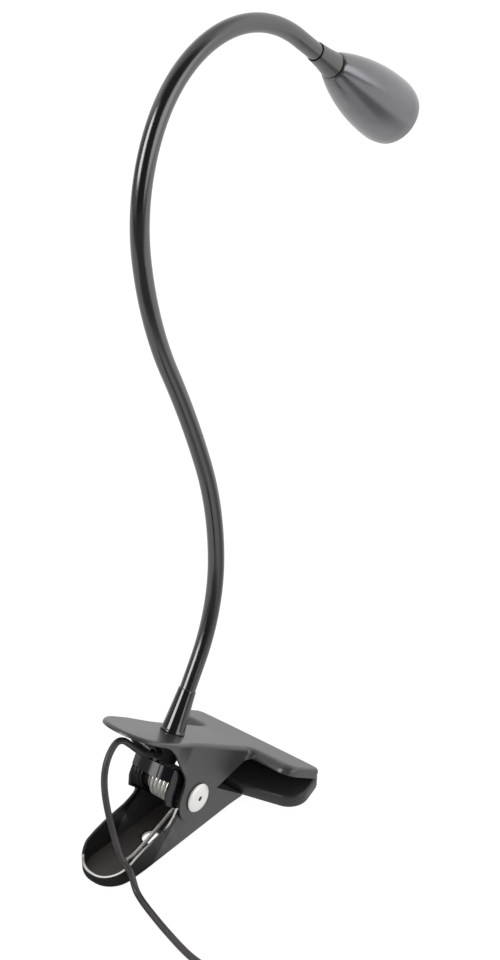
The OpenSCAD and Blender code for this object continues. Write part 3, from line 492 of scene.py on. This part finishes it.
main_line = [p * MM for p in
             smooth_line(CORD_ROUTE, 4) + coil_line() + smooth_line(CORD_OUT, 4)]
tail_line = [p * MM for p in smooth_line(CORD_TAIL, 4)]
cord_main = tube("cord_from_lamp", main_line, CORD_R * MM, CORD, 12)
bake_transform(cord_main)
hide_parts("cord_lead", "cord_run", "cord_coil")
cord_tail = settle(tube("cord_to_driver", tail_line, CORD_R * MM, CORD, 12),
                   "clamp_lower", "cord", "cord_tail")

strap = dress("coil_tie", "coil_strap", TIE, "tie", 0.2)
switch_low = dress("switch_base", "switch_case_low", CASE, "case", 0.9, 3)
switch_top = dress("switch_cover", "switch_case_top", CASE, "case", 0.6, 3)
rocker = dress("switch_rocker", "switch_key", ROCKER, "rocker", 0.4)
driver_low = dress("driver_base", "driver_case_low", CASE, "case", 1.2, 3)
driver_top = dress("driver_cover", "driver_case_top", CASE, "case", 1.0, 3)
pins = dress("plug_pins", "plug_pins_rounded", PIN, "pin", 0.7, 3)

# ---------------------------------------------------------------- neck and head
# Distances along the neck, from the plate: where it bends, and where one sleeve piece ends
# and the next begins.
BENDS = [NECK_ROOT + NECK_LINK * i for i in range(len(TURNS))]
SLEEVE_FROM, SLEEVE_TO = 1.5, NECK_TOP - 0.95
SEAMS = [SLEEVE_FROM, *((a + b) / 2 for a, b in zip(BENDS, BENDS[1:])), SLEEVE_TO]


def neck_piece(j, ring_step=1.4, end_ring=0.3):
    """Sleeve across one bending place, from seam to seam. Measures are in mm."""
    s0, s1 = SEAMS[j], SEAMS[j + 1]
    inner = int((s1 - s0) / ring_step)
    marks = ([s0, s0 + end_ring] + [s0 + (s1 - s0) * k / inner for k in range(1, inner)]
             + [s1 - end_ring, s1])
    places = [neck_point(s) for s in marks]
    obj = tube(f"neck_skin_{j + 1}", [p * MM for p, a in places], NECK_SLEEVE_R * MM, NECK, 40,
               caps=False, tangents=[direction(a) for p, a in places])
    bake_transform(obj)
    stands_for = [f"neck_sleeve_{j + 1}"] + (["neck_sleeve_0"] if j == 0 else [])
    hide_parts(*stands_for)


for j in range(len(TURNS)):
    neck_piece(j)

ferrule = lathe("neck_ferrule", rounded([
    (4.15, 4.6), (5.1, 4.6), (5.1, 0.02), (6.25, 0.02), (6.25, 0.9), (5.95, 1.6), (5.5, 6.0),
    (4.9, 14.0), (4.5, 20.0), (4.42, 21.8), (4.1, 22.0), (4.1, 18.0)], 0.35),
    UPPER, CHROME_BLACK, 72)
settle(ferrule, "clamp_upper", "ferrule", "base_ferrule")

collar = lathe("neck_collar", rounded([
    (4.12, -2.0), (4.12, -14.9), (4.5, -14.98), (4.62, -13.5), (5.0, -8.5), (5.65, -3.4),
    (6.02, -1.2), (6.02, -0.75), (5.1, -0.6), (5.0, -0.02), (4.98, 4.8), (3.4, 4.9),
    (1.62, 4.9), (1.62, -0.8)], 0.3), HEAD_FRAME, COLLAR, 72)
settle(collar, "neck_7", "head_metal", "head_collar")

HEAD_R, HEAD_L, WIDEST, HEAD_NECK_R, HEAD_WALL = 16.1, 57.5, 50.0, 6.2, 1.5
MOUTH_R, LENS_BORE_R, LENS_Z, COLLAR_BORE_R = HEAD_R - 0.9, 13.7, HEAD_L - 4, 5.12
HEAD_FROM, HOLLOW_L = 0.45, 47.6


def head_radius(z):
    """Outer radius of the head at height z, which swells to its widest and draws in a little."""
    if z < WIDEST:
        swell = math.sin(math.pi / 2 * (z / WIDEST) ** 0.85)
        return HEAD_NECK_R + (HEAD_R - HEAD_NECK_R) * swell
    return MOUTH_R + (HEAD_R - MOUTH_R) * math.cos(math.pi / 2 * (z - WIDEST) / (HEAD_L - WIDEST))


def head_profile():
    """Outer and inner side of the shell, from the collar to the mouth and back."""
    outer = [(COLLAR_BORE_R, 0.0), (5.9, 0.0), (6.12, 0.12)]
    outer += [(head_radius(z), z)
              for z in (HEAD_FROM + (HEAD_L - 2 * HEAD_FROM) * k / 60 for k in range(60))]
    outer += [(MOUTH_R, HEAD_L - 0.3), (MOUTH_R - 0.25, HEAD_L), (LENS_BORE_R + 0.3, HEAD_L),
              (LENS_BORE_R, HEAD_L - 0.3)]
    inner = [(LENS_BORE_R, LENS_Z - 3.0)]
    inner += [(head_radius(z) - HEAD_WALL, z)
              for z in (LENS_Z - 3.4 - HOLLOW_L * k / 24 for k in range(25))]
    return outer, inner + [(COLLAR_BORE_R, 2.4)]


outer, inner = head_profile()
head = lathe("head_shade", outer + inner, HEAD_FRAME, [HEAD, CASE], 96,
             band=range(len(outer), len(outer) + len(inner)))
settle(head, "neck_7", "head_metal", "head_shell")


# ---------------------------------------------------------------- folded sheet
def outline(corners, step=1.2, closed=True):
    """Points along a polygon whose corners (x, y, r) are rounded by arcs."""
    pts = [Vector((x, y)) for x, y, r in corners]
    n = len(pts)
    out = []
    for i in range(n):
        p, r = pts[i], corners[i][2]
        a, b = pts[i - 1], pts[(i + 1) % n]
        if not closed and i in (0, n - 1):
            out.append(p.copy())
            continue
        u, v = (a - p).normalized(), (b - p).normalized()
        half = math.acos(max(-1.0, min(1.0, u.dot(v)))) / 2
        reach = r / math.tan(half)
        sweep = math.pi - 2 * half
        centre = p + (u + v).normalized() * (r / math.sin(half))
        start = p + u * reach
        parts = max(2, int(r * sweep / step) + 1, int(math.degrees(sweep) / 7) + 1)
        ray = start - centre
        turn = 1 if u.cross(v) < 0 else -1
        for k in range(parts + 1):
            t = turn * sweep * k / parts
            out.append(centre + Vector((ray.x * math.cos(t) - ray.y * math.sin(t),
                                        ray.x * math.sin(t) + ray.y * math.cos(t))))
    filled = []
    count = len(out) if closed else len(out) - 1
    for i in range(count):
        a, b = out[i], out[(i + 1) % len(out)]
        if (b - a).length < 1e-5:
            continue
        parts = max(1, int((b - a).length / (3 * step)))
        filled += [a + (b - a) * k / parts for k in range(parts)]
    if not closed:
        filled.append(out[-1])
    return filled


def interpolate(table, x):
    """Value at x between the table's (x, value) pairs, held past its ends."""
    if x <= table[0][0]:
        return table[0][1]
    for (x0, y0), (x1, y1) in zip(table, table[1:]):
        if x <= x1:
            return y0 + (y1 - y0) * (x - x0) / (x1 - x0)
    return table[-1][1]


def circle_points(x, y, r, n):
    return [Vector((x + r * math.cos(2 * math.pi * k / n), y + r * math.sin(2 * math.pi * k / n)))
            for k in range(n)]


def fill(bm, outer, holes, make):
    """Triangulates a flat region. outer is a list of (point, vertex or None); holes are
    (centre x, centre y, radius, count). make turns a point into a new vertex."""
    coords = [p for p, v in outer]
    verts = [v for p, v in outer]
    edges = [(k, (k + 1) % len(outer)) for k in range(len(outer))]
    for x, y, r, n in holes:
        first = len(coords)
        ring = circle_points(x, y, r, n)
        coords += ring
        verts += [None] * n
        edges += [(first + k, first + (k + 1) % n) for k in range(n)]
    found, _, faces, origin, _, _ = geometry.delaunay_2d_cdt(coords, edges, [], 1, 1e-7)
    at = {}
    for k, p in enumerate(found):
        source = origin[k][0] if origin[k] else None
        v = verts[source] if source is not None else None
        if v is None:
            v = make(p)
            if source is not None:
                verts[source] = v
        at[k] = v
    for f in faces:
        mid = sum((found[k] for k in f), Vector((0, 0))) / len(f)
        if any((mid - Vector((x, y))).length < r * 0.999 for x, y, r, n in holes):
            continue
        trio = [at[k] for k in f]
        if len(set(trio)) == len(trio):
            bm.faces.new(trio)


SHEET, EDGE_ROUND = 1.2, 0.28


def fold_sheet(name, loop, closed, bend, depth, ear, place, floor_holes, materials, extra=(),
               arc=6, rows=5):
    """Sheet of one thickness with its border folded over. loop holds outline points; bend and
    depth give each one's fold radius and flange depth; ear is (x0, x1, contour, holes) for the
    flat flanges on both sides; place maps (x, y, depth) to the lamp; extra points join the floor.
    The second material is the cut edge's."""
    bm = bmesh.new()
    n = len(loop)
    columns = []
    for i, p in enumerate(loop):
        a = loop[i - 1] if closed or i > 0 else p
        b = loop[(i + 1) % n] if closed or i < n - 1 else p
        along = (b - a).normalized()
        normal = Vector((along.y, -along.x))
        r = bend(p)
        d = max(depth(p), r + 0.05)
        column = []
        for k in range(arc + 1):
            t = math.pi / 2 * k / arc
            q = p - normal * r * (1 - math.sin(t))
            column.append(bm.verts.new(place(q.x, q.y, r * (1 - math.cos(t)))))
        in_ear = ear[0] + 1e-6 < p.x < ear[1] - 1e-6 and abs(along.y) < 0.02
        if not in_ear:
            for k in range(1, rows + 1):
                column.append(bm.verts.new(place(p.x, p.y, r + (d - r) * k / rows)))
        columns.append((p, normal, r, d, column, in_ear))
    for i in range(n if closed else n - 1):
        a, b = columns[i][4], columns[(i + 1) % n][4]
        for k in range(min(len(a), len(b)) - 1):
            bm.faces.new((a[k], b[k], b[k + 1], a[k + 1]))
    border = [(p - normal * r, column[0]) for p, normal, r, d, column, e in columns]
    fill(bm, border + [(q, None) for q in extra], floor_holes,
         lambda q: bm.verts.new(place(q.x, q.y, 0.0)))
    for side in (-1, 1):
        run = [i for i in range(n) if columns[i][5] and columns[i][0].y * side > 0]
        first, last = (run[0] - 1) % n, (run[-1] + 1) % n
        chain = [first] + run + [last]
        y = columns[run[0]][0].y
        poly = [(Vector((columns[i][0].x, columns[i][2])), columns[i][4][arc]) for i in chain]
        p, _, r, d, column, _ = columns[last]
        poly += [(Vector((p.x, r + (d - r) * k / rows)), column[arc + k])
                 for k in range(1, rows + 1)]
        p0, _, r0, d0, column0, _ = columns[first]
        contour = ear[2] if columns[first][0].x > columns[last][0].x else ear[2][::-1]
        poly += [(Vector(q), None) for q in contour
                 if min(p.x, p0.x) + 0.2 < q[0] < max(p.x, p0.x) - 0.2]
        poly += [(Vector((p0.x, r0 + (d0 - r0) * k / rows)), column0[arc + k])
                 for k in range(rows, 0, -1)]
        fill(bm, poly, ear[3], lambda q, y=y: bm.verts.new(place(q.x, y, q.y)))
    bmesh.ops.remove_doubles(bm, verts=bm.verts, dist=1e-6)
    bmesh.ops.recalc_face_normals(bm, faces=bm.faces)
    out_way = place(0, 0, 0) - place(0, 0, 1)
    flat = max(bm.faces, key=lambda f: f.calc_area() * abs(f.normal.dot(out_way.normalized())))
    if flat.normal.dot(out_way) < 0:
        bmesh.ops.reverse_faces(bm, faces=bm.faces)
    obj = finish_mesh(name, bm, materials, 60)
    thick = obj.modifiers.new("thick", "SOLIDIFY")
    thick.thickness = SHEET * MM
    thick.offset = -1
    thick.use_even_offset = True
    thick.material_offset_rim = 1
    edge = obj.modifiers.new("round", "BEVEL")
    edge.width = EDGE_ROUND * MM
    edge.segments = 2
    edge.limit_method = "ANGLE"
    edge.angle_limit = math.radians(50)
    edge.harden_normals = False
    smooth = obj.modifiers.new("even", "WEIGHTED_NORMAL")
    smooth.weight = 100
    smooth.keep_sharp = True
    return apply_modifiers(obj)


def place_upper(x, y, depth):
    """Point at that depth below the upper shell's top, in metres."""
    return UPPER @ (Vector((x, y, -depth)) * MM)


def place_lower(x, y, depth):
    """Point at that depth in from the lower shell's outer face, in metres."""
    return Vector((x, y, depth)) * MM


EAR_OUT = 15.3
RIVET_HOLE_R, STUD_HOLE_R = 2.6, 5.1
LIP, JAW_LIP = 2.0, 5.0


def lobe(cx, cz, r, a0, a1, n):
    """Points of an ear's round end, from angle a0 to a1."""
    angles = [math.radians(a0 + (a1 - a0) * k / n) for k in range(n + 1)]
    return [(cx + r * math.cos(a), cz + r * math.sin(a)) for a in angles]


# Lower edge of the upper shell's ears as (x, depth), behind and ahead of the round end.
UPPER_EAR_BACK = [(-24, LIP), (-20, 3.2), (-16, 5.4), (-12, 8.0), (-8, 10.6), (-4, 13.2),
                  (0, 15.8), (2.2, 17.9)]
UPPER_EAR_AHEAD = [(29.6, 23.6), (30.6, 21.9), (34, 18.9), (40, 13.6), (46, 8.4), (50, JAW_LIP)]
UPPER_EAR = (UPPER_EAR_BACK + [(3.5, 20.6), (4.0, 23.6)]
             + lobe(PIVOT_S, PIVOT_TO_TOP, 12.6, 180, 0, 26) + UPPER_EAR_AHEAD)


def upper_depth(p):
    """How far down the upper shell's border is folded at an outline point."""
    beside_ears = abs(p.y) < EAR_OUT + 3.2 and p.x < 50.2
    if beside_ears:
        return max(interpolate(UPPER_EAR_BACK + UPPER_EAR_AHEAD, p.x), LIP)
    return LIP if p.x < 0 else JAW_LIP


def upper_bend(p):
    """Outer radius of that fold."""
    if p.x < 46.5:
        return interpolate([(-26, 1.5), (-8, 1.9), (6, 2.6), (46, 2.8)], p.x)
    if p.x < 60:
        return interpolate([(15.3, 2.8), (20, 4.4), (34, 4.6), (41, 2.6)], abs(p.y))
    return 2.0


UPPER_OUTLINE = outline([
    (-43, -18, 17.4), (-16, -18, 24), (-1, -EAR_OUT, 24), (50, -EAR_OUT, 3.6), (50, -41, 8),
    (79.2, -42.5, 5), (80, -18, 90), (80, 18, 90), (79.2, 42.5, 5), (50, 41, 8),
    (50, EAR_OUT, 3.6), (-1, EAR_OUT, 24), (-16, 18, 24), (-43, 18, 17.4)])
upper_shell = fold_sheet("upper_clamp_sheet", UPPER_OUTLINE, True, upper_bend, upper_depth,
                         (2.6, 45.6, UPPER_EAR, [(PIVOT_S, PIVOT_TO_TOP, RIVET_HOLE_R, 28)]),
                         place_upper, [(0, 0, STUD_HOLE_R, 32)], [PAINT, PAINT])
settle(upper_shell, "clamp_upper", "clamp_steel", "upper_shell")

# Upper edge of the lower shell's walls as (x, height), behind and ahead of the round end.
WALL_BACK = [(-58, 6.5), (-52, 8.3), (-45, 10.4), (-42, 11.5), (-36, 13.0), (-29.5, 14.0),
             (-22, 15.0), (-18, 16.6), (-15, 19.2)]
WALL_AHEAD = [(13, 20.1), (20, 14.4), (28, 7.8), (33, 3.7), (36, 1.5)]
LOWER_WALL = WALL_BACK + [(-12.4, 22.5)] + lobe(0, PIVOT_Z, 11.6, 172, 12, 22) + WALL_AHEAD


def lower_depth(p):
    """How far up the lower shell's border is folded at an outline point."""
    return interpolate(WALL_BACK + WALL_AHEAD, p.x)


def lower_bend(p):
    """Outer radius of that fold."""
    return interpolate([(-58, 3.4), (-45, 3.0), (-36, 1.9), (26, 1.7), (36, 0.6)], p.x)


def jaw_hull(circles, inset, n):
    """n points, evenly spaced, round a convex plate of the given (x, y, r) corners, which is
    drawn in by inset."""
    cloud = []
    for x, y, r in circles:
        cloud += circle_points(x, y, max(r - inset, 0.05), 48)
    loop = [cloud[k] for k in geometry.convex_hull_2d(cloud)]
    if sum(a.cross(b) for a, b in zip(loop, loop[1:] + loop[:1])) < 0:
        loop.reverse()
    lengths = [(b - a).length for a, b in zip(loop, loop[1:] + loop[:1])]
    total = sum(lengths)
    start = min(range(len(loop)), key=lambda k: (round(loop[k].x, 3), abs(loop[k].y)))
    loop = loop[start:] + loop[:start]
    lengths = lengths[start:] + lengths[:start]
    out, k, done = [], 0, 0.0
    for i in range(n):
        want = total * i / n
        while done + lengths[k] < want:
            done += lengths[k]
            k += 1
        t = (want - done) / lengths[k]
        out.append(loop[k].lerp(loop[(k + 1) % len(loop)], t))
    return out


FAR_WALL_LIFT = 2.6


def raise_far_wall(obj):
    """Lifts the top of the handle's far wall a little above the near one."""
    for v in obj.data.vertices:
        x, y, z = v.co / MM
        if y > 8.0 and z > 4.0:
            share = (interpolate([(-57, 0.0), (-48, 1.0), (-19, 1.0), (-13, 0.0)], x)
                     * interpolate([(4, 0.0), (7, 1.0)], z))
            v.co.z += FAR_WALL_LIFT * MM * share


# Painted shade: the lower shell behind this plane gets a near-black paint in place of the dark
# reflections and shadow at the handle's end.
PAINTED_SHADE_INDEX = 2
PAINTED_SHADE_AT, PAINTED_SHADE_WAY = Vector((-29.5, 0, 3.0)) * MM, Vector((16.0, 0, -18.5)).normalized()


def paint_handle_end_shade(obj):
    """Paints painted shade on the handle's end: behind a plane, the sheet's satin faces, and there
    the cut edge of the far wall too, get a near-black paint in place of dark reflections and
    shadow."""
    bm = bmesh.new()
    bm.from_mesh(obj.data)
    bmesh.ops.bisect_plane(bm, geom=bm.verts[:] + bm.edges[:] + bm.faces[:], dist=1e-7,
                           plane_co=PAINTED_SHADE_AT, plane_no=PAINTED_SHADE_WAY)
    for face in bm.faces:
        middle = face.calc_center_median()
        far_edge = middle.y > 10 * MM and middle.x > -54 * MM
        if (face.material_index == 0 or far_edge) and (middle - PAINTED_SHADE_AT).dot(PAINTED_SHADE_WAY) < 0:
            face.material_index = PAINTED_SHADE_INDEX
    bm.to_mesh(obj.data)
    bm.free()


LOWER_JAW = [(38, -11.8, 2), (52.5, -31.5, 11), (62, -30.5, 10), (62, 30.5, 10),
             (52.5, 31.5, 11), (38, 11.8, 2)]
LOWER_OUTLINE = outline([(36, 13.8, 0), (-58, 13.8, 13), (-58, -13.8, 13), (36, -13.8, 0)],
                        closed=False)
plate = [q for q in jaw_hull(LOWER_JAW, 1.65, 120) if q.x > 37.8]
plate.sort(key=lambda q: math.atan2(q.y, q.x - 45))
lower_shell = fold_sheet("lower_clamp_sheet", LOWER_OUTLINE, False, lower_bend, lower_depth,
                         (-40, 30, LOWER_WALL, [(0, PIVOT_Z, RIVET_HOLE_R, 28)]), place_lower,
                         [(-17.5, 0, 4.5, 40)], [PAINT, EDGE_STEEL, HANDLE_END_SHADE_PAINT], extra=plate)
paint_handle_end_shade(lower_shell)
raise_far_wall(lower_shell)
settle(lower_shell, "clamp_lower", "clamp_steel", "lower_shell")


# ---------------------------------------------------------------- pads, liner, spring
def slab(name, loop, rings, matrix, material):
    """Solid whose border is a plate's outline, drawn in by each ring's (inset, height)."""
    n = len(loop)
    normals = []
    for i in range(n):
        along = (loop[(i + 1) % n] - loop[i - 1]).normalized()
        normals.append(Vector((along.y, -along.x)))
    bm = bmesh.new()
    made = []
    for inset, z in rings:
        drawn_in = [p - q * inset for p, q in zip(loop, normals)]
        made.append([bm.verts.new(matrix @ (Vector((p.x, p.y, z)) * MM)) for p in drawn_in])
    for a, b in zip(made, made[1:]):
        for i in range(n):
            bm.faces.new((a[i], a[(i + 1) % n], b[(i + 1) % n], b[i]))
    bm.faces.new(list(reversed(made[0])))
    bm.faces.new(made[-1])
    bmesh.ops.recalc_face_normals(bm, faces=bm.faces)
    return finish_mesh(name, bm, material, 50)


def arc_rings(z, r, n=5):
    """Quarter round from the border at height z to a flat face."""
    angles = [math.pi / 2 * k / n for k in range(n + 1)]
    return [(r * (1 - math.cos(a)), z + r * math.sin(a)) for a in angles]


PAD_TOP, PAD_ROUND = 7.1, 1.5
low_pad = slab("lower_jaw_rubber", jaw_hull(LOWER_JAW, 0.0, 240),
               [(1.62, 1.24), (1.6, 0.05), (1.45, 0.0), (0.5, 0.25), (0.12, 0.8)]
               + arc_rings(PAD_TOP - PAD_ROUND, PAD_ROUND), Matrix.Identity(4), RUBBER)
settle(low_pad, "clamp_lower", "pad_rubber", "lower_jaw_pad")

UPPER_JAW = [(58, -33, 8), (75, -37.5, 5), (75, 37.5, 5), (58, 33, 8)]
up_pad = slab("upper_jaw_rubber", jaw_hull(UPPER_JAW, 1.3, 200),
              [(0.0, 1.22), (0.0, 3.6)] + arc_rings(4.6, 1.0),
              UPPER @ Matrix.Diagonal((1, 1, -1, 1)), RUBBER)
settle(up_pad, "clamp_upper", "pad_rubber", "upper_jaw_pad")
liner = dress("handle_liner", "handle_liner_sheet", LINER, "liner", 0.25)
raise_far_wall(liner)

# One end of the rivet, from its bore to the shank, as (radius, distance from the middle).
RIVET_END = [(1.2, 17.0), (1.35, 17.45), (1.7, 17.6), (3.6, 17.56), (5.4, 17.35), (6.6, 16.9),
             (7.15, 16.45), (7.3, 16.15), (7.25, 16.0), (2.5, 15.95)]
rivet_profile = [(r, -y) for r, y in RIVET_END] + RIVET_END[::-1]
rivet = lathe("jaw_rivet", rivet_profile, Matrix.Translation((0, 0, PIVOT_Z * MM))
              @ Matrix.Rotation(math.radians(-90), 4, "X"), [NICKEL, BRASS_BORE], 64,
              band=[len(rivet_profile) - 1])
settle(rivet, "clamp_lower", "pivot_metal", "pivot_rivet")

COIL_R, COIL_Y0, COIL_Y1, WIRE_R = 8.0, -3.7, 9.84, 1.0
COIL_START, COIL_END, COIL_STEPS = 290.0, 2266.5, 219


def spring_point(share):
    """Point on the spring's coil at that share of its length."""
    angle = math.radians(COIL_START + (COIL_END - COIL_START) * share)
    return Vector((COIL_R * math.cos(angle), COIL_Y0 + (COIL_Y1 - COIL_Y0) * share,
                   PIVOT_Z + COIL_R * math.sin(angle)))


lower_leg = smooth_line([(-38, COIL_Y0, 3.1), (-32, COIL_Y0, 3.3), (-20, COIL_Y0, 7.0),
                         (-8, COIL_Y0, 11.3)], 5)
lower_leg += [lower_leg[-1].lerp(spring_point(0), t) for t in (0.25, 0.5, 0.75)]
upper_leg = [UPPER @ (Vector((s, COIL_Y1, d)) * MM) / MM
             for s, d in ((4.68, -13.8), (-9.3, -8.4), (-21.3, -2.8), (-29.3, -2.3))]
spring_line = (lower_leg + [spring_point(k / COIL_STEPS) for k in range(COIL_STEPS + 1)]
               + smooth_line(upper_leg, 5))
spring = tube("clamp_spring", [p * MM for p in spring_line], WIRE_R * MM, SPRING, 14)
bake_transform(spring)
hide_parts("torsion_spring")

dress("spring_cover", "spring_cover_gloss", COVER, "cover", 0.3)
dress("lock_nut", "lock_nut_chamfered", PLATED, "plated_steel", 0.35)
dress("strain_relief", "strain_relief_soft", RELIEF, "relief", 0.4, 3)

# ---------------------------------------------------------------- kept solids
paint(WASHER, "pivot_washers")
paint(SLEEVE, "pivot_sleeve")
paint(PLATED, "threaded_stud")
paint(SINK, "heat_sink")
paint(BOARD, "led_board")
paint(EMITTER, "led_emitter")
paint(WIRE, "led_wires", *[f"neck_lead_{k}" for k in range(8)])
paint(CORE, *[f"neck_core_{k}" for k in range(8)])
paint(REFLECTOR, "reflector")
paint(LENS, "lens")
paint(CASE, "lens_ring")
paint(CIRCUIT, "driver_board")

# ---------------------------------------------------------------- studio
world = bpy.data.worlds.new("studio")
scene.world = world
world.use_nodes = True
wt = world.node_tree


def math_node(nt, op, a, b):
    """Node of two values, each a number or another node's output."""
    node = add(nt, "ShaderNodeMath", operation=op)
    for index, value in enumerate((a, b)):
        if isinstance(value, (int, float)):
            node.inputs[index].default_value = value
        else:
            nt.links.new(value, node.inputs[index])
    return node.outputs[0]


def product(nt, first, *rest):
    for value in rest:
        first = math_node(nt, "MULTIPLY", first, value)
    return first


def largest(nt, first, *rest):
    for value in rest:
        first = math_node(nt, "MAXIMUM", first, value)
    return first


def either_of(nt, share, chosen, other):
    """chosen where share is 1, other where it is 0."""
    return math_node(nt, "ADD", product(nt, chosen, share),
                     product(nt, other, math_node(nt, "SUBTRACT", 1.0, share)))


def ray_kinds(nt):
    """1 for camera rays, and 1 for rays that a glossy or a clear surface sends on."""
    path = add(nt, "ShaderNodeLightPath")
    mirrored = largest(nt, path.outputs["Is Glossy Ray"], path.outputs["Is Transmission Ray"])
    return path.outputs["Is Camera Ray"], mirrored


def vector_node(nt, op, a, b, output="Value"):
    """Node of another node's vector and a fixed one."""
    node = add(nt, "ShaderNodeVectorMath", operation=op)
    nt.links.new(a, node.inputs[0])
    node.inputs[1].default_value = b
    return node.outputs[output]


def step_between(nt, value, low, high, out0=0.0, out1=1.0):
    """out0 below low and out1 above high, with a soft step between them."""
    node = add(nt, "ShaderNodeMapRange", interpolation_type="SMOOTHSTEP")
    nt.links.new(value, node.inputs["Value"])
    for key, number in (("From Min", low), ("From Max", high), ("To Min", out0), ("To Max", out1)):
        node.inputs[key].default_value = number
    return node.outputs["Result"]


AHEAD = tuple(FORWARD)
RIGHT = (FORWARD.y, -FORWARD.x, 0.0)
DARK, STRIP, FLOOR_SHOWN, GLOW_SHARE = 0.05, 5.0, 1.06, 0.9
HANDLE_END = (-0.064, 0.0, 0.0)
STRIP_WAY = tuple(Vector((-0.965, 0.261, 0.0)).normalized())


def light_the_room():
    """The camera sees white. Matte surfaces get a plain light, a little stronger from above.
    Glossy and clear ones see white behind the lamp, and on the near side a dark room with a
    grey wall to the left, a low window to the right and a tall lit strip. Its bounds are parts
    of a unit vector, ahead of the camera, to its right and up."""
    way = add(wt, "ShaderNodeTexCoord").outputs["Generated"]
    ahead = vector_node(wt, "DOT_PRODUCT", way, AHEAD)
    right = vector_node(wt, "DOT_PRODUCT", way, RIGHT)
    high = vector_node(wt, "DOT_PRODUCT", way, (0, 0, 1))
    near = step_between(wt, ahead, -0.25, 0.05, 1.0, 0.0)
    left_wall = product(wt, step_between(wt, right, -0.7, -0.5, 0.35, 0.0),
                        step_between(wt, high, 0.25, 0.35, 1.0, 0.0))
    window = product(wt, step_between(wt, right, 0.5, 0.68, 0.0, 1.8),
                     step_between(wt, high, 0.4, 0.55, 1.0, 0.0))
    room = largest(wt, left_wall, window, DARK)
    flat = vector_node(wt, "MULTIPLY", way, (1, 1, 0), "Vector")
    unit = add(wt, "ShaderNodeVectorMath", operation="NORMALIZE")
    wt.links.new(flat, unit.inputs[0])
    strip = product(wt, step_between(wt, vector_node(wt, "DOT_PRODUCT", unit.outputs["Vector"],
                                                     STRIP_WAY), 0.955, 0.975),
                    step_between(wt, high, 0.2, 0.3), step_between(wt, high, 0.8, 0.7))
    far = product(wt, math_node(wt, "SUBTRACT", 1.0, near),
                  step_between(wt, high, 0.6, 0.92, 1.0, 0.55),
                  step_between(wt, right, -0.9, -0.7, 0.3, 1.0))
    shaped = largest(wt, math_node(wt, "ADD", product(wt, near, room), far),
                     product(wt, strip, STRIP))
    plain = step_between(wt, high, -0.3, 0.4, 0.7, 1.12)
    seen, mirrored = ray_kinds(wt)
    level = either_of(wt, seen, 1.0, either_of(wt, mirrored, shaped, plain))
    background = wt.nodes["Background"]
    wt.links.new(level, background.inputs["Strength"])
    background.inputs["Color"].default_value = (1, 1, 1, 1)


light_the_room()


def floor_material():
    """Pale floor. The camera sees it white. Glossy and clear surfaces see it white under and
    behind the lamp and far to both sides, and dark in front, where the photographer stands, in
    a band to the right and close under the handle's end. Its bounds are in metres."""
    mat, nt, bsdf = new_material("pale_floor")
    bsdf.inputs["Base Color"].default_value = (0.9, 0.9, 0.9, 1)
    bsdf.inputs["Roughness"].default_value = 0.6
    place = add(nt, "ShaderNodeTexCoord").outputs["Object"]
    ahead = vector_node(nt, "DOT_PRODUCT", place, AHEAD)
    right = vector_node(nt, "DOT_PRODUCT", place, RIGHT)
    table = step_between(nt, ahead, -0.34, -0.2, 0.0, 0.65)
    right_far = product(nt, step_between(nt, right, 0.5, 0.6, 0.0, 0.95),
                        step_between(nt, ahead, -0.95, -0.6))
    left_far = product(nt, step_between(nt, right, -0.42, -0.3, 0.65, 0.0),
                       step_between(nt, ahead, -0.8, -0.45))
    behind = step_between(nt, ahead, 0.05, 0.2, 0.0, 0.85)
    band = product(nt, step_between(nt, right, 0.2, 0.27),
                   step_between(nt, right, 0.46, 0.56, 1.0, 0.0),
                   step_between(nt, ahead, 0.03, 0.16, 0.6, 0.0))
    level = product(nt, largest(nt, table, right_far, left_far, behind),
                    math_node(nt, "SUBTRACT", 1.0, band))
    level = largest(nt, level, DARK)
    # Painted shadow: glossy surfaces see the floor darker close under the handle's end.
    shade = add(nt, "ShaderNodeVectorMath", operation="DISTANCE")
    nt.links.new(place, shade.inputs[0])
    shade.inputs[1].default_value = HANDLE_END
    level = product(nt, level, step_between(nt, shade.outputs["Value"], 0.03, 0.06, 0.1, 1.0))
    seen, mirrored = ray_kinds(nt)
    glow = add(nt, "ShaderNodeEmission")
    nt.links.new(either_of(nt, seen, FLOOR_SHOWN, level), glow.inputs["Strength"])
    mix = add(nt, "ShaderNodeMixShader")
    nt.links.new(product(nt, largest(nt, seen, mirrored), GLOW_SHARE), mix.inputs["Fac"])
    nt.links.new(bsdf.outputs["BSDF"], mix.inputs[1])
    nt.links.new(glow.outputs["Emission"], mix.inputs[2])
    nt.links.new(mix.outputs["Shader"], nt.nodes["Material Output"].inputs["Surface"])
    return mat


FLOOR_REACH = 15.0


def floor_plane():
    """Floor of the picture, which sends no light to matte surfaces."""
    bm = bmesh.new()
    bm.faces.new([bm.verts.new((x * FLOOR_REACH, y * FLOOR_REACH, 0.0)) for x, y in
                  ((-1, -1), (1, -1), (1, 1), (-1, 1))])
    obj = finish_mesh("floor_plane", bm, floor_material())
    obj.visible_diffuse = False


floor_plane()

scene.view_settings.view_transform = "Standard"
